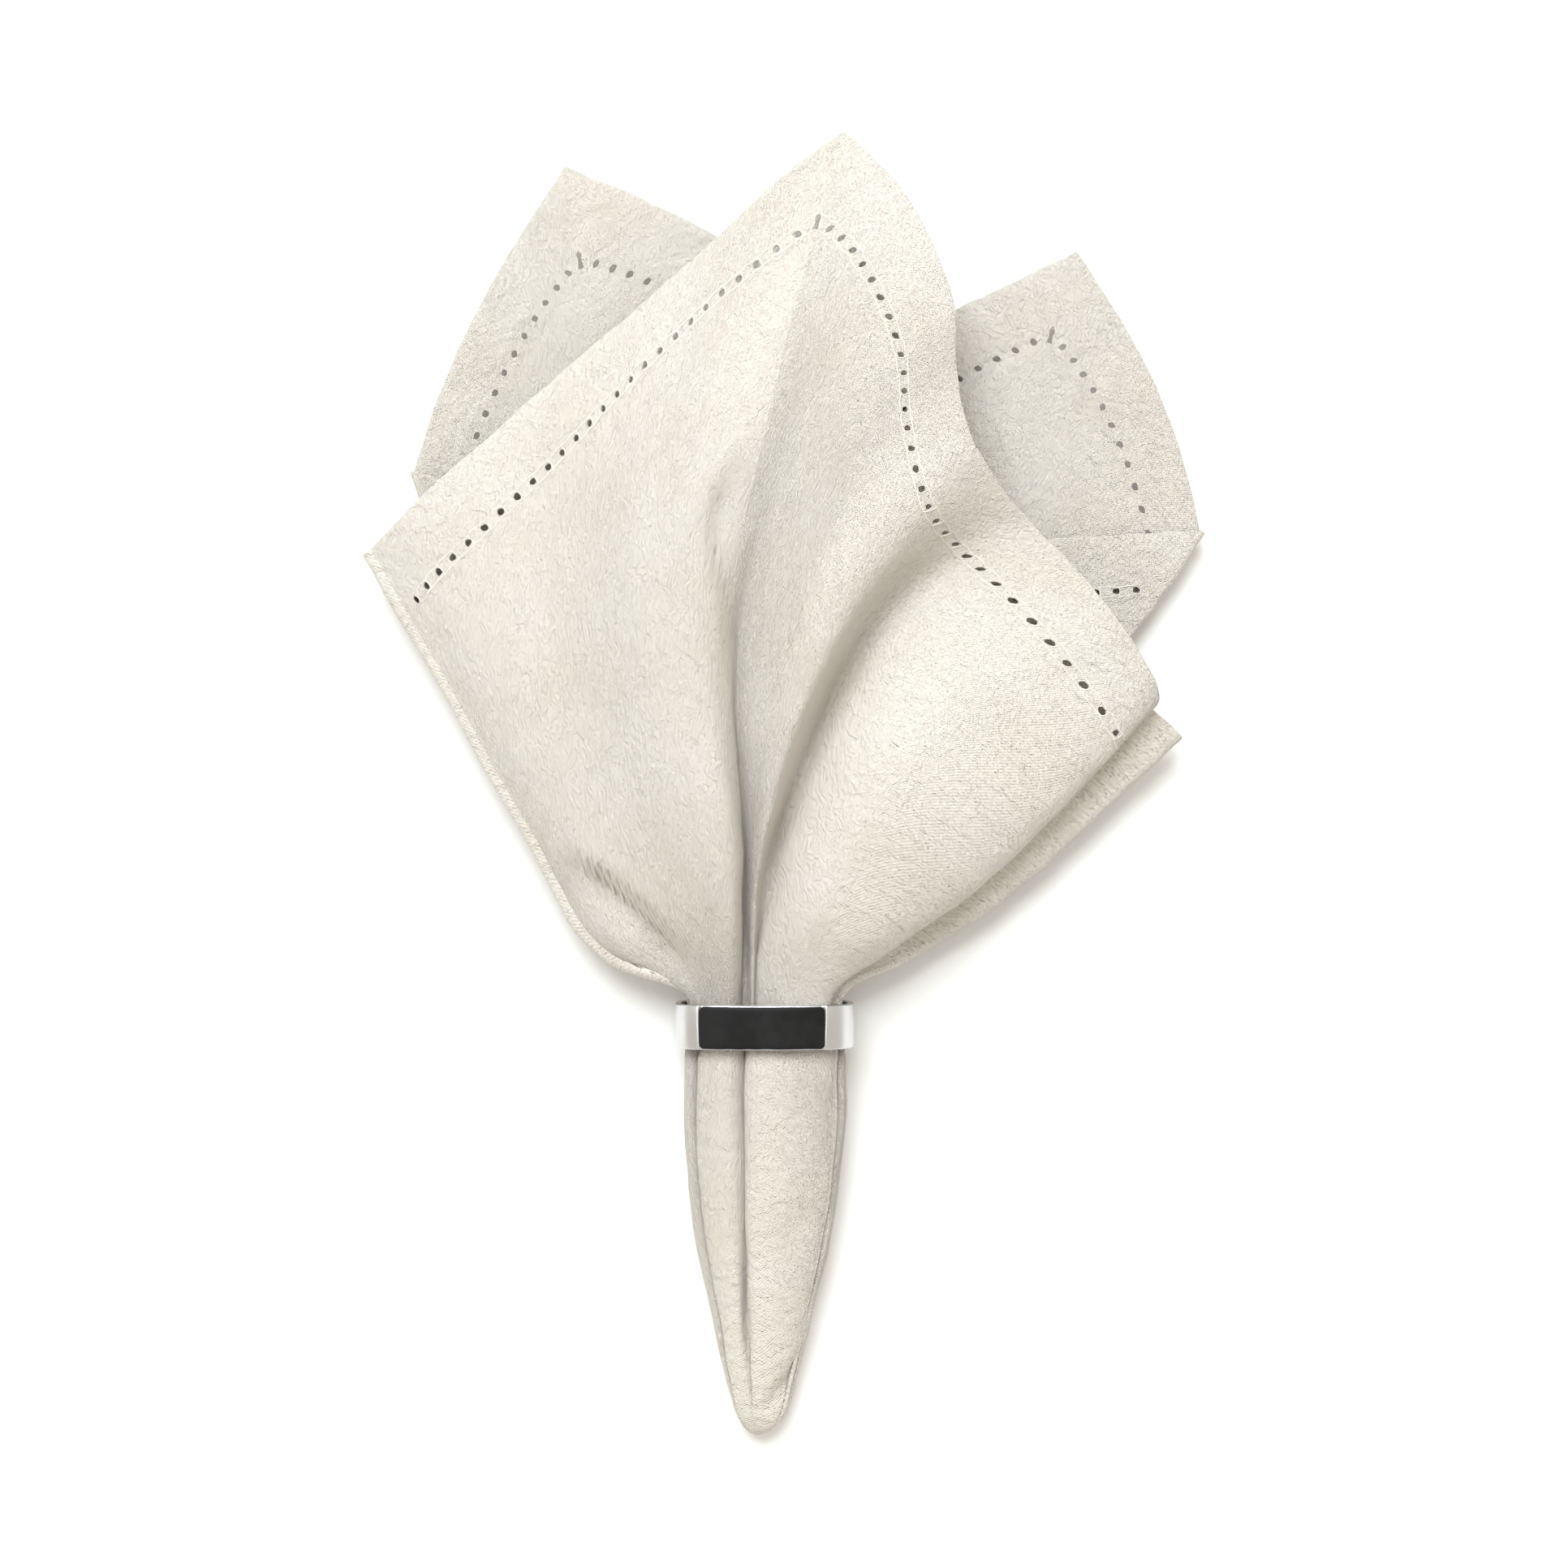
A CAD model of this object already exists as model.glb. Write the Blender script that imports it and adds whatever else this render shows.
import logging
import math
from dataclasses import dataclass
from enum import Enum

import bpy
import numpy as np
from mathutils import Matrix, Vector, noise
from mathutils.bvhtree import BVHTree


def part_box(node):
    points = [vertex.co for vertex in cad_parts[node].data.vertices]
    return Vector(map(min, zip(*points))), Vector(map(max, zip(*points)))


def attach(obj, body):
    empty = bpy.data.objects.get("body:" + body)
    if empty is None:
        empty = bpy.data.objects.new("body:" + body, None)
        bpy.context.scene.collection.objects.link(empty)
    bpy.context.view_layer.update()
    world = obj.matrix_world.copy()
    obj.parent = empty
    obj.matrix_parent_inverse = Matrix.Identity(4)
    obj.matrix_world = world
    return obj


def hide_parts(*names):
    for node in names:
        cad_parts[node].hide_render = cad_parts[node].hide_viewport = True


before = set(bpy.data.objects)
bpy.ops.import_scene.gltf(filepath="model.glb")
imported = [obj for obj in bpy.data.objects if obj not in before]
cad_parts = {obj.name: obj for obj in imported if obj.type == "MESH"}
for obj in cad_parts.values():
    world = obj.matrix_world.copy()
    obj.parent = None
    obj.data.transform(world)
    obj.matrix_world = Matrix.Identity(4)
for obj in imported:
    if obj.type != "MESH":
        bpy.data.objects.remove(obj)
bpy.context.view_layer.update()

LOG = logging.getLogger("napkin")
MM = 0.001
NO_HOLE = 9
RING_CENTRE = (-5.0, -61.0, 14.5)


class Turn(Enum):
    """Which way a fold of the cloth points, seen from above."""

    LEFT = -1
    NONE = 0
    RIGHT = 1


class Cover(Enum):
    """How finely a stretch of cloth is divided, by how much of it shows."""

    SHOWN = 4
    UNDERSIDE = 2
    HIDDEN = 1


@dataclass(frozen=True)
class FoldLine:
    """One fold line of the cloth from the ring to its edge, in millimetres.

    edge is the place on the square's edge from the front corner, ring is x and z inside the
    ring and the stations are x, y, z at the shoulder, body, collar and rim.
    """

    name: str
    edge: float
    ring: tuple[float, float]
    stations: tuple[tuple[float, float, float], ...]
    radius: float = 0.0
    turn: Turn = Turn.NONE
    corner: bool = False


@dataclass(frozen=True)
class TailSection:
    """An oval across the tail at a reach from the tip, in millimetres.

    pleated is the share of the pleats' full depth that they have there.
    """

    reach: float
    y: float
    middle: float
    half: float
    low: float
    top: float
    pleated: float


@dataclass(frozen=True)
class TailFold:
    """Where one place on the cloth's edge runs along the tail.

    edge is the place on the square's edge, angle the place round the oval in degrees and
    depth how far it is tucked in towards the middle, from 0 on the outside to 1.
    """

    edge: float
    angle: float
    depth: float


@dataclass(frozen=True)
class Gather:
    """Soft pleats that lift a stretch of cloth between two turns.

    count is how many there are and lifts their heights in millimetres at the ring, shoulder,
    body, collar and rim. They are highest in the middle of the stretch, or nearer its end
    where lean is above 1.
    """

    count: float
    lifts: tuple[float, float, float, float, float]
    lean: float = 1.0


FOLD_LINES = (
    FoldLine("frontCorner", 0, (-11.8, 23.6),
             ((-10.7, -22.3, 28), (-13.5, 38.6, 35.5), (-0.9, 102.8, 40.6), (14.9, 163.3, 26)),
             corner=True),
    FoldLine("brow", 27, (-11.1, 21.8),
             ((-10.3, -24.2, 25), (-11, 33.6, 33.5), (6.6, 96.5, 40.4), (31.2, 145.4, 30.3))),
    FoldLine("browEnd", 53, (-10.5, 20.5),
             ((-9.9, -27, 23), (-7.2, 25.7, 32.5), (12.4, 83.8, 39.6), (42, 119.9, 32.5))),
    FoldLine("hollow", 76, (-8.9, 19.5),
             ((-9.2, -30, 23), (-3, 16.9, 32.5), (15.4, 69, 38.8), (43, 101.4, 33))),
    FoldLine("middleRidge", 100, (-7.9, 22.2),
             ((-7.4, -31.8, 26), (1.4, 9.9, 37.5), (20.9, 50.1, 40), (47.7, 83.4, 34.5))),
    FoldLine("rightTrough", 123, (-6.6, 20.6),
             ((-5.3, -32.7, 20.5), (5.7, 7.1, 21), (27.4, 45.3, 23.5), (61.3, 66.7, 22))),
    FoldLine("lobeLeft", 138, (-3.4, 22.4),
             ((0, -34, 28), (11.8, 2.4, 30), (35.8, 38, 29), (71.2, 56.5, 22.6))),
    FoldLine("rightRidge", 162, (3.2, 25),
             ((10.4, -36.3, 33.5), (26.9, -5.5, 37), (55.2, 19.5, 31.5), (87, 36.6, 23))),
    FoldLine("overhang", 186, (12, 21.4),
             ((24.5, -43.2, 22), (49.5, -25.3, 20.5), (73.3, -2.1, 19.5), (94.4, 20.9, 18.5))),
    FoldLine("tuck", 191.5, (12.2, 19.2),
             ((22.2, -42.3, 16.5), (46.6, -22.7, 15), (70, 1.3, 14.8), (93, 19.5, 15))),
    FoldLine("lowerRight", 198, (15, 16.4),
             ((29.1, -46.1, 12.6), (55, -30, 11), (79.7, -8.3, 10.8), (101.6, 12.1, 10.8)),
             1.4, Turn.RIGHT),
    FoldLine("innerRight", 309, (-3.4, 14.5),
             ((-2.4, -38.2, 13.2), (-0.5, -6.6, 12.8), (2.2, 27.3, 12.8), (4.8, 59, 12.8)),
             1.1, Turn.LEFT),
    FoldLine("rightFold", 420, (14.6, 10.4),
             ((28.1, -37.5, 7.2), (56.7, -6.4, 6.4), (83.7, 29.8, 6.8), (107.6, 64.3, 7.6)),
             1.2, Turn.RIGHT),
    FoldLine("rightCorner", 500, (3.9, 7.6),
             ((15.3, -28.3, 5.2), (37.6, 24.4, 5.2), (58.1, 82.1, 6.6), (74.6, 135.8, 12)),
             corner=True),
    FoldLine("rightRest", 548, (-2, 7.5),
             ((4.7, -30.7, 4.9), (16.4, 16.9, 4.7), (26.5, 68.6, 4.6), (32, 116.2, 4.6))),
    FoldLine("rightInner", 630, (-12.6, 6.1),
             ((-15, -35.1, 3.9), (-20.9, 3.6, 3.7), (-29.7, 44.6, 3.5), (-42.1, 81.8, 3.4)),
             1.0, Turn.LEFT),
    FoldLine("rightUnder", 815, (9.5, 5.3),
             ((23.3, -42, 1.65), (44.6, -16.1, 1.65), (65.8, 12.8, 1.65), (83.7, 41.2, 1.65)),
             1.1, Turn.RIGHT),
    FoldLine("backCorner", 1000, (-5.5, 2.8),
             ((-3.8, -26, 0.55), (-0.1, 31.8, 0.55), (4.4, 93.6, 0.55), (8.1, 151.4, 0.55)),
             corner=True),
    FoldLine("leftUnder", 1220, (-20, 5.6),
             ((-34.6, -41.2, 1.75), (-55, -12.1, 1.65), (-75.3, 20.1, 1.65), (-92.5, 51.2, 1.65)),
             1.1, Turn.LEFT),
    FoldLine("leftStep", 1300, (-15.4, 8.6),
             ((-19, -36, 5.9), (-27, 1, 6), (-36, 41, 6.2), (-47, 79, 6.2))),
    FoldLine("leftInner", 1405, (3.4, 10.3),
             ((5.7, -31.3, 8), (10.9, 14.7, 7.8), (17.5, 63.9, 7.8), (25.7, 109.5, 7.8)),
             1.0, Turn.RIGHT),
    FoldLine("leftCorner", 1500, (-12.7, 11.4),
             ((-20.7, -25, 7.8), (-33.9, 34.2, 8.2), (-46.4, 97.9, 8.8), (-55.7, 157.3, 12)),
             corner=True),
    FoldLine("leftFold", 1586, (-24.6, 12.8),
             ((-37.9, -37.4, 8), (-58.4, 0.1, 6.5), (-78.5, 41.2, 6.6), (-96, 80, 7.6)),
             1.2, Turn.LEFT),
    FoldLine("innerLeft", 1712, (-8.2, 14.6),
             ((-9.4, -39.8, 13), (-7.7, -11.3, 12.8), (-7, 19.3, 12.8), (-6.4, 47.8, 12.8)),
             1.1, Turn.RIGHT),
    FoldLine("leftFront", 1837, (-24.4, 18.4),
             ((-44.5, -45.7, 14), (-66.2, -13.2, 13.4), (-87.2, 23.8, 13.2), (-107, 58.2, 13.2)),
             2.6, Turn.LEFT),
    FoldLine("leftStrip", 1851, (-23.6, 19.8),
             ((-41, -43.3, 19), (-61.8, -8.4, 20.4), (-81.2, 30.6, 19.6), (-98, 66.6, 17.4))),
    FoldLine("leftSlope", 1895, (-20.6, 22.4),
             ((-31.5, -34.6, 30), (-47.3, 7, 31), (-57.9, 52.6, 27), (-63.9, 97.1, 19))),
    FoldLine("leftRidge", 1955, (-15.1, 25.2),
             ((-18.4, -26.2, 35.5), (-29.5, 25.2, 42), (-31.5, 80.9, 41), (-18.6, 134.6, 28.5))),
    FoldLine("lobeEdge", 1982, (-13, 25.2),
             ((-12.1, -23.8, 34.5), (-18.6, 32, 40.5), (-16, 92.5, 41.2), (1.2, 153, 28.3))),
)

TAIL_SECTIONS = (
    TailSection(0, -167.2, -6.4, 0, 5, 5, 0),
    TailSection(3.4, -165.9, -6.3, 2.9, 3.2, 7.2, 0),
    TailSection(8, -161.8, -6, 5.9, 1.5, 9.4, 0.15),
    TailSection(20.5, -149.4, -5.9, 9.8, 0.6, 12.2, 0.7),
    TailSection(36, -134, -5.7, 13.1, 0.6, 14.8, 0.95),
    TailSection(52, -117.8, -5.5, 16.7, 0.6, 17.6, 1),
    TailSection(71, -98.6, -5.2, 19.4, 0.6, 20.8, 1),
    TailSection(86, -83, -4.9, 20.5, 0.8, 23.4, 1),
    TailSection(97, -71.5, -4.7, 20.3, 2.2, 25.2, 1),
    TailSection(101.7, -66.6, -4.7, 20.2, 2.6, 25.4, 1),
    TailSection(107.2, -61, -4.7, 20.1, 2.8, 25.4, 1),
)

TAIL_FOLDS = (
    TailFold(4, 109, 0), TailFold(24, 106.6, 0.25), TailFold(50, 104.5, 1), TailFold(76, 102.2, 0.25),
    TailFold(95, 99.5, 0), TailFold(198, 30, 0), TailFold(300, 26.5, 0.45), TailFold(345, 23, 0),
    TailFold(420, -6, 0), TailFold(1586, -174, 0), TailFold(1640, -207, 0),
    TailFold(1790, -210.5, 1), TailFold(1938, -214, 0),
)

GATHERS = (
    Gather(6, (0.4, 3.5, 7.5, 7.5, 5), 1.6),
    Gather(4, (0.2, 0.5, 0.8, 0.8, 0.3)),
    Gather(5, (0.2, 0.5, 0.6, 0.4, 0)),
    Gather(9, (0.2, 0.9, 1.3, 1.3, 0.8)),
    Gather(34, (0.3, 1.6, 1.9, 1.9, 1.2)),
    Gather(9, (0.2, 0.9, 1.3, 1.3, 0.8)),
    Gather(4, (0.2, 0.4, 0.5, 0.3, 0)),
    Gather(7, (0.3, 1.5, 2.5, 2.5, 1.2)),
    Gather(6, (0.4, 4, 8, 8, 5), 0.8),
    Gather(0, (0, 0, 0, 0, 0)),
)


@dataclass(frozen=True)
class ClothFinish:
    """Colours and feel of the crinkled cotton."""

    name: str = "cloth"
    light: tuple[float, float, float] = (0.735, 0.70, 0.645)
    dark: tuple[float, float, float] = (0.695, 0.652, 0.582)
    roughness: float = 0.92
    sheen: float = 0.2
    crinkle_depth: float = 0.24
    rib_depth: float = 0.66
    pucker_depth: float = 0.8
    weave_depth: float = 0.08


@dataclass(frozen=True)
class ThreadFinish:
    """Colour of the hemstitching thread."""

    name: str = "thread"
    colour: tuple[float, float, float] = (0.86, 0.84, 0.77)
    roughness: float = 0.8


@dataclass(frozen=True)
class MetalFinish:
    """Brushed steel of the band."""

    name: str = "steel"
    colour: tuple[float, float, float] = (0.66, 0.66, 0.67)
    roughness: float = 0.3
    anisotropy: float = 0.6


@dataclass(frozen=True)
class InlayFinish:
    """Black satin of the inlay."""

    name: str = "inlay"
    colour: tuple[float, float, float] = (0.008, 0.008, 0.0083)
    roughness: float = 0.45


@dataclass(frozen=True)
class TableFinish:
    """Plain pale table top."""

    name: str = "table"
    colour: tuple[float, float, float] = (0.96, 0.96, 0.96)
    roughness: float = 0.9


@dataclass(frozen=True)
class Crease:
    """A hand-placed trough, ridge or step on the side of the cloth that faces up.

    path is a run of x, y points in millimetres seen from above and depth is how far the cloth
    sinks there (below 0 for a ridge). A crease with a reach is a step: the cloth drops over
    the width to the left of the path, seen along it, and comes back up over the reach.
    """

    path: tuple[tuple[float, float], ...]
    depth: float
    width: float
    reach: float = 0.0
    fade: float = 0.2


CREASES = (
    Crease(((-6.3, 84), (-12.8, 80.8), (-19, 72), (-20.6, 60.3), (-17.4, 47.5), (-15, 32.2),
            (-13.4, 22), (-11.7, 7.3)), 5, 3.2, 12, 0.3),
    Crease(((-18.6, -47.9), (-24, -39.9), (-33.4, -29.9), (-44.5, -20.9), (-55.5, -14.4)), 8, 3.6, 9, 0.3),
    Crease(((-35, 89.7), (-38.5, 63.6), (-37.9, 33.4), (-33.4, 3.3), (-26.2, -22.8), (-19.8, -42.9)),
           1.7, 6),
    Crease(((-7.5, -50.3), (-5.6, -43.5), (-3.3, -35.8), (-1, -28), (1.3, -16.6), (5.1, -6.5)),
           2.6, 1.8, 4),
    Crease(((34, -33), (22, -40), (12, -44)), 1.6, 3.2, 7),
    Crease(((0.2, -107.5), (8.9, -114)), 1.3, 3.6, 0, 0.5),
    Crease(((7.4, -126), (6.6, -138.7), (1.7, -147.5), (-2.6, -153.1), (-5.2, -156.5),
            (-8.7, -160.6)), 2.4, 1.4, 6),
    Crease(((11.8, -73), (9.9, -90), (10.9, -99)), 0.8, 2.2),
    Crease(((-10, -108), (-9.9, -124), (-9.6, -140), (-8.9, -156)), 3.2, 1.2, 0, 0.5),
    Crease(((-4, -70), (-2, -88), (0.5, -104)), 0.9, 2.6, 0, 0.4),
)


@dataclass(frozen=True)
class ClothGrid:
    """A grid of cloth points and what is known of each, all arrays rows by columns."""

    points: np.ndarray
    edge: np.ndarray
    spread: np.ndarray
    inset: np.ndarray


def mixed(low: np.ndarray, high: np.ndarray, share: np.ndarray) -> np.ndarray:
    """Returns the value between low and high at a share of the way."""
    return low + (high - low) * share


def smooth_step(value: np.ndarray, low: float, high: float) -> np.ndarray:
    """Returns 0 below low, 1 above high, and an even curve between them."""
    share = np.clip((value - low) / (high - low), 0, 1)
    return share * share * (3 - 2 * share)


def boxy(value: np.ndarray, power: float) -> np.ndarray:
    """Returns a sine or cosine bent so that its ellipse turns boxy as power goes above 2."""
    return np.sign(value) * np.abs(value) ** (2 / power)


def slopes(places: np.ndarray, points: np.ndarray) -> np.ndarray:
    """Finds the slope of a smooth curve at each of its points.

    Args:
        places: where each point lies along the curve.
        points: the points, with the first axis running along the curve.

    Returns:
        The slopes, shaped as points.
    """
    steps = np.diff(places).reshape((-1,) + (1,) * (points.ndim - 1))
    rises = np.diff(points, axis=0) / steps
    result = np.empty_like(points)
    result[1:-1] = (rises[:-1] * steps[1:] + rises[1:] * steps[:-1]) / (steps[:-1] + steps[1:])
    result[0] = rises[0]
    result[-1] = rises[-1]
    if len(places) > 2:
        result[0] = 1.5 * rises[0] - 0.5 * result[1]
        result[-1] = 1.5 * rises[-1] - 0.5 * result[-2]
    return result


def cubic(start: np.ndarray, end: np.ndarray, slope_start: np.ndarray, slope_end: np.ndarray,
          span: np.ndarray, share: np.ndarray) -> np.ndarray:
    """Returns points on the cubics that join start to end with the given slopes."""
    square = share * share
    cube = square * share
    return (start * (2 * cube - 3 * square + 1) + end * (3 * square - 2 * cube)
            + span * (slope_start * (cube - 2 * square + share) + slope_end * (cube - square)))


def curve_at(places: np.ndarray, points: np.ndarray, tangents: np.ndarray,
             where: np.ndarray) -> np.ndarray:
    """Returns the points of a smooth curve at many places along it."""
    index = np.clip(np.searchsorted(places, where, side="right") - 1, 0, len(places) - 2)
    span = (places[index + 1] - places[index])[:, None]
    share = (where[:, None] - places[index][:, None]) / span
    return cubic(points[index], points[index + 1], tangents[index], tangents[index + 1], span, share)


@dataclass
class ClothFolds:
    """The folded form of the whole cloth: any place on the square to its point in space."""

    side: float = 500.0
    ring_in_y: float = -68.0
    ring_out_y: float = -54.0
    ring_out_reach: float = 116.0
    rest_height: float = 0.55
    turn_half: float = 2.0
    tail_power: float = 2.5
    tail_softness: int = 3
    pleat_depth: float = 0.68
    under_pleats: int = 17
    under_from: TailFold = TailFold(420, -6, 0)
    under_to: TailFold = TailFold(1586, -174, 0)
    melt_from: float = -67.0
    melt_to: float = -61.0
    station_shares: tuple[float, ...] = (-0.1, 0.0, 0.14, 0.42, 0.72, 1.0)
    lines: tuple[FoldLine, ...] = FOLD_LINES
    sections: tuple[TailSection, ...] = TAIL_SECTIONS
    tail_folds: tuple[TailFold, ...] = TAIL_FOLDS
    gathers: tuple[Gather, ...] = GATHERS

    def __post_init__(self) -> None:
        """Works out each fold line's path and the panels between the turns."""
        self.places = np.array(self.station_shares)
        self.paths = []
        for line in self.lines:
            x, z = line.ring
            points = np.array([(x, self.ring_in_y, z), (x, self.ring_out_y, z), *line.stations], float)
            self.paths.append((points, slopes(self.places, points)))
        turns = [n for n, line in enumerate(self.lines) if line.turn is not Turn.NONE]
        ends = turns[1:] + [turns[0] + len(self.lines)]
        self.panels = [list(range(start, end + 1)) for start, end in zip(turns, ends)]

    def line_of(self, index: int) -> FoldLine:
        """Returns the fold line with a number that may run on past the last one."""
        return self.lines[index % len(self.lines)]

    def edge_of(self, index: int) -> float:
        """Returns the edge place of a fold line, running on past the last one."""
        return self.line_of(index).edge + (4 * self.side if index >= len(self.lines) else 0)

    def edge_reach(self, edge: np.ndarray) -> np.ndarray:
        """Returns the distance from the cloth's middle to its edge at places on the edge."""
        half = self.side / 2
        from_corner = np.abs((edge + half) % self.side - half)
        return np.hypot(half, half - from_corner)

    def flat_place(self, edge: np.ndarray, share: np.ndarray) -> np.ndarray:
        """Finds where on the flat square a piece of cloth comes from.

        Args:
            edge: places on the square's edge, in millimetres from the front corner.
            share: shares of the way from the middle to the edge.

        Returns:
            The x and y on the flat square, in millimetres from its middle.
        """
        half = self.side / 2
        corner = np.array([(half, half), (half, -half), (-half, -half), (-half, half), (half, half)])
        run = (edge % (4 * self.side)) / self.side
        index = np.minimum(run.astype(int), 3)
        along = (run - index)[..., None]
        return mixed(corner[index], corner[index + 1], along) * share[..., None]

    def fold_point(self, index: int, share: np.ndarray) -> np.ndarray:
        """Returns the points of one fold line at shares of the way from the ring to the edge."""
        points, tangents = self.paths[index % len(self.lines)]
        result = curve_at(self.places, points, tangents, share)
        result[:, 2] = np.maximum(result[:, 2], self.rest_height)
        return result

    def turn_point(self, index: int, share: np.ndarray, phase: np.ndarray) -> np.ndarray:
        """Finds points on the half circle of a fold.

        Args:
            index: the fold line's number.
            share: shares of the way from the ring to the edge.
            phase: 0 at the panel before the fold, 1 at the panel after it.

        Returns:
            The points, one row each.
        """
        line = self.line_of(index)
        before = self.fold_point(index, np.maximum(share - 0.03, -0.1))
        after = self.fold_point(index, np.minimum(share + 0.03, 1))
        along = (after - before)[:, :2]
        along /= np.linalg.norm(along, axis=1, keepdims=True)
        outward = np.stack([along[:, 1], -along[:, 0], np.zeros(len(share))], axis=1)
        outward *= line.turn.value
        centre = self.fold_point(index, share) - outward * line.radius
        down = 1 if line.edge < 2 * self.side else -1
        angle = math.pi * (0.5 - phase) * down
        result = centre + outward * (np.cos(angle) * line.radius)[:, None]
        result[:, 2] += np.sin(angle) * line.radius
        return result

    def knots(self, panel: list[int]) -> np.ndarray:
        """Returns the edge places of a panel's fold lines, clear of the turns at its ends."""
        places = np.array([self.edge_of(index) for index in panel])
        places[0] += self.turn_half
        places[-1] -= self.turn_half
        return places

    def panel_point(self, panel: list[int], edge: np.ndarray, share: np.ndarray) -> np.ndarray:
        """Finds points on a panel between two turns.

        Args:
            panel: the numbers of the panel's fold lines.
            edge: places on the square's edge.
            share: shares of the way from the ring to the edge.

        Returns:
            The points, one row each.
        """
        knots = self.knots(panel)
        points = np.stack(
            [self.turn_point(panel[0], share, np.ones(len(share)))]
            + [self.fold_point(index, share) for index in panel[1:-1]]
            + [self.turn_point(panel[-1], share, np.zeros(len(share)))])
        tangents = slopes(knots, points)
        index = np.clip(np.searchsorted(knots, edge, side="right") - 1, 0, len(knots) - 2)
        pick = np.arange(len(edge))
        start, end = points[index, pick], points[index + 1, pick]
        slope_start, slope_end = tangents[index, pick], tangents[index + 1, pick]
        span = (knots[index + 1] - knots[index])[:, None]
        rise = (end - start) / span
        corners = np.array([self.line_of(number).corner for number in panel])
        sharp = np.maximum(share, 0)[:, None] ** 3
        sharp_start = mixed(slope_start, 1.5 * rise - 0.5 * slope_end, sharp)
        sharp_end = mixed(slope_end, 1.5 * rise - 0.5 * slope_start, sharp)
        slope_start = np.where(corners[index][:, None], sharp_start, slope_start)
        slope_end = np.where(corners[index + 1][:, None], sharp_end, slope_end)
        along = (edge[:, None] - knots[index][:, None]) / span
        result = cubic(start, end, slope_start, slope_end, span, along)
        result[:, 2] += self.gathered(self.panels.index(panel), edge, share, knots)
        result[:, 2] = np.maximum(result[:, 2], self.rest_height)
        return result

    def gathered(self, number: int, edge: np.ndarray, share: np.ndarray, knots: np.ndarray) -> np.ndarray:
        """Finds how far the soft pleats of a panel lift its points.

        Args:
            number: the panel's number.
            edge: places on the square's edge.
            share: shares of the way from the ring to the edge.
            knots: the panel's fold lines on the edge.

        Returns:
            The lifts, in millimetres.
        """
        gather = self.gathers[number]
        run = np.clip((edge - knots[0]) / (knots[-1] - knots[0]), 0, 1)
        height = np.interp(share, self.places[1:], gather.lifts)
        uneven = 1 + 0.25 * np.sin(run * 17 + number) * np.sin(run * 7 + 2 * number)
        within = np.sin(math.pi * run ** gather.lean) ** 0.7
        return height * uneven * np.sin(math.pi * gather.count * run) ** 2 * within

    def under_folds(self) -> list[TailFold]:
        """Lays out the even pleats along the underside of the tail."""
        angles = np.radians(np.linspace(self.under_from.angle, self.under_to.angle, 400))
        line = np.stack([1.8 * boxy(np.cos(angles), self.tail_power), boxy(np.sin(angles), self.tail_power)])
        run = np.concatenate([[0], np.cumsum(np.linalg.norm(np.diff(line, axis=1), axis=0))])
        found = []
        for number in range(self.under_pleats):
            for aside, along, depth in ((-0.36, -0.17, 0), (0, 0, 1), (0.36, 0.17, 0)):
                share = (number + 0.5 + along) / self.under_pleats
                angle = math.degrees(float(np.interp(share * run[-1], run, angles)))
                place = (number + 0.5 + aside) / self.under_pleats
                edge = self.under_from.edge + place * (self.under_to.edge - self.under_from.edge)
                found.append(TailFold(edge, angle, depth))
        return found

    def tail_place(self, edge: np.ndarray) -> tuple[np.ndarray, np.ndarray]:
        """Finds where places on the cloth's edge run on the tail.

        Args:
            edge: places on the square's edge.

        Returns:
            Their angles round the oval, in degrees, and their tucked depths.
        """
        turn = 4 * self.side
        folds = sorted([*self.tail_folds, *self.under_folds()], key=lambda fold: fold.edge)
        first, last = folds[0], folds[-1]
        knots = [last.edge - turn, *(fold.edge for fold in folds), first.edge + turn]
        angles = [last.angle + 360, *(fold.angle for fold in folds), first.angle - 360]
        depths = [last.depth, *(fold.depth for fold in folds), first.depth]
        place = edge % turn
        return np.interp(place, knots, angles), np.interp(place, knots, depths)

    def tail_rows(self, ring: np.ndarray, edge: np.ndarray, reaches: np.ndarray) -> np.ndarray:
        """Builds the lines round the tail: an oval with pleats tucked in to its middle.

        Args:
            ring: the points round the cloth inside the ring.
            edge: each point's place on the cloth's edge.
            reaches: the distances from the tip, in millimetres.

        Returns:
            The points, rows by columns by 3.
        """
        places = np.array([section.reach for section in self.sections], float)
        table = np.array([(s.y, s.middle, s.half, s.low, s.top, s.pleated)
                          for s in self.sections], float)
        values = curve_at(places, table, slopes(places, table), reaches)
        angle, depth = self.tail_place(edge)
        turned = np.radians(angle)
        oval_x = boxy(np.cos(turned), self.tail_power)
        oval_z = boxy(np.sin(turned), self.tail_power)
        rows = []
        for y, middle, half, bottom, top, pleated in values:
            bottom = max(bottom, self.rest_height)
            out = 1 - self.pleat_depth * min(max(pleated, 0.0), 1.0) * depth
            line = np.stack([middle + half * oval_x * out, np.full_like(angle, y),
                             (bottom + top) / 2 + (top - bottom) / 2 * oval_z * out], axis=1)
            for _ in range(self.tail_softness):
                line = 0.5 * line + 0.25 * (np.roll(line, 1, axis=0) + np.roll(line, -1, axis=0))
            melted = smooth_step(np.array(y), self.melt_from, self.melt_to)
            line[:, 0] = mixed(line[:, 0], ring[:, 0], melted)
            line[:, 2] = mixed(line[:, 2], ring[:, 2], melted)
            rows.append(line)
        return np.stack(rows)


@dataclass(frozen=True)
class Columns:
    """The lines of points that run from the tip to the rim, one entry each."""

    edge: np.ndarray
    panel: np.ndarray
    turn: np.ndarray
    phase: np.ndarray
    level: np.ndarray
    hole: np.ndarray
    cover: np.ndarray


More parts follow.
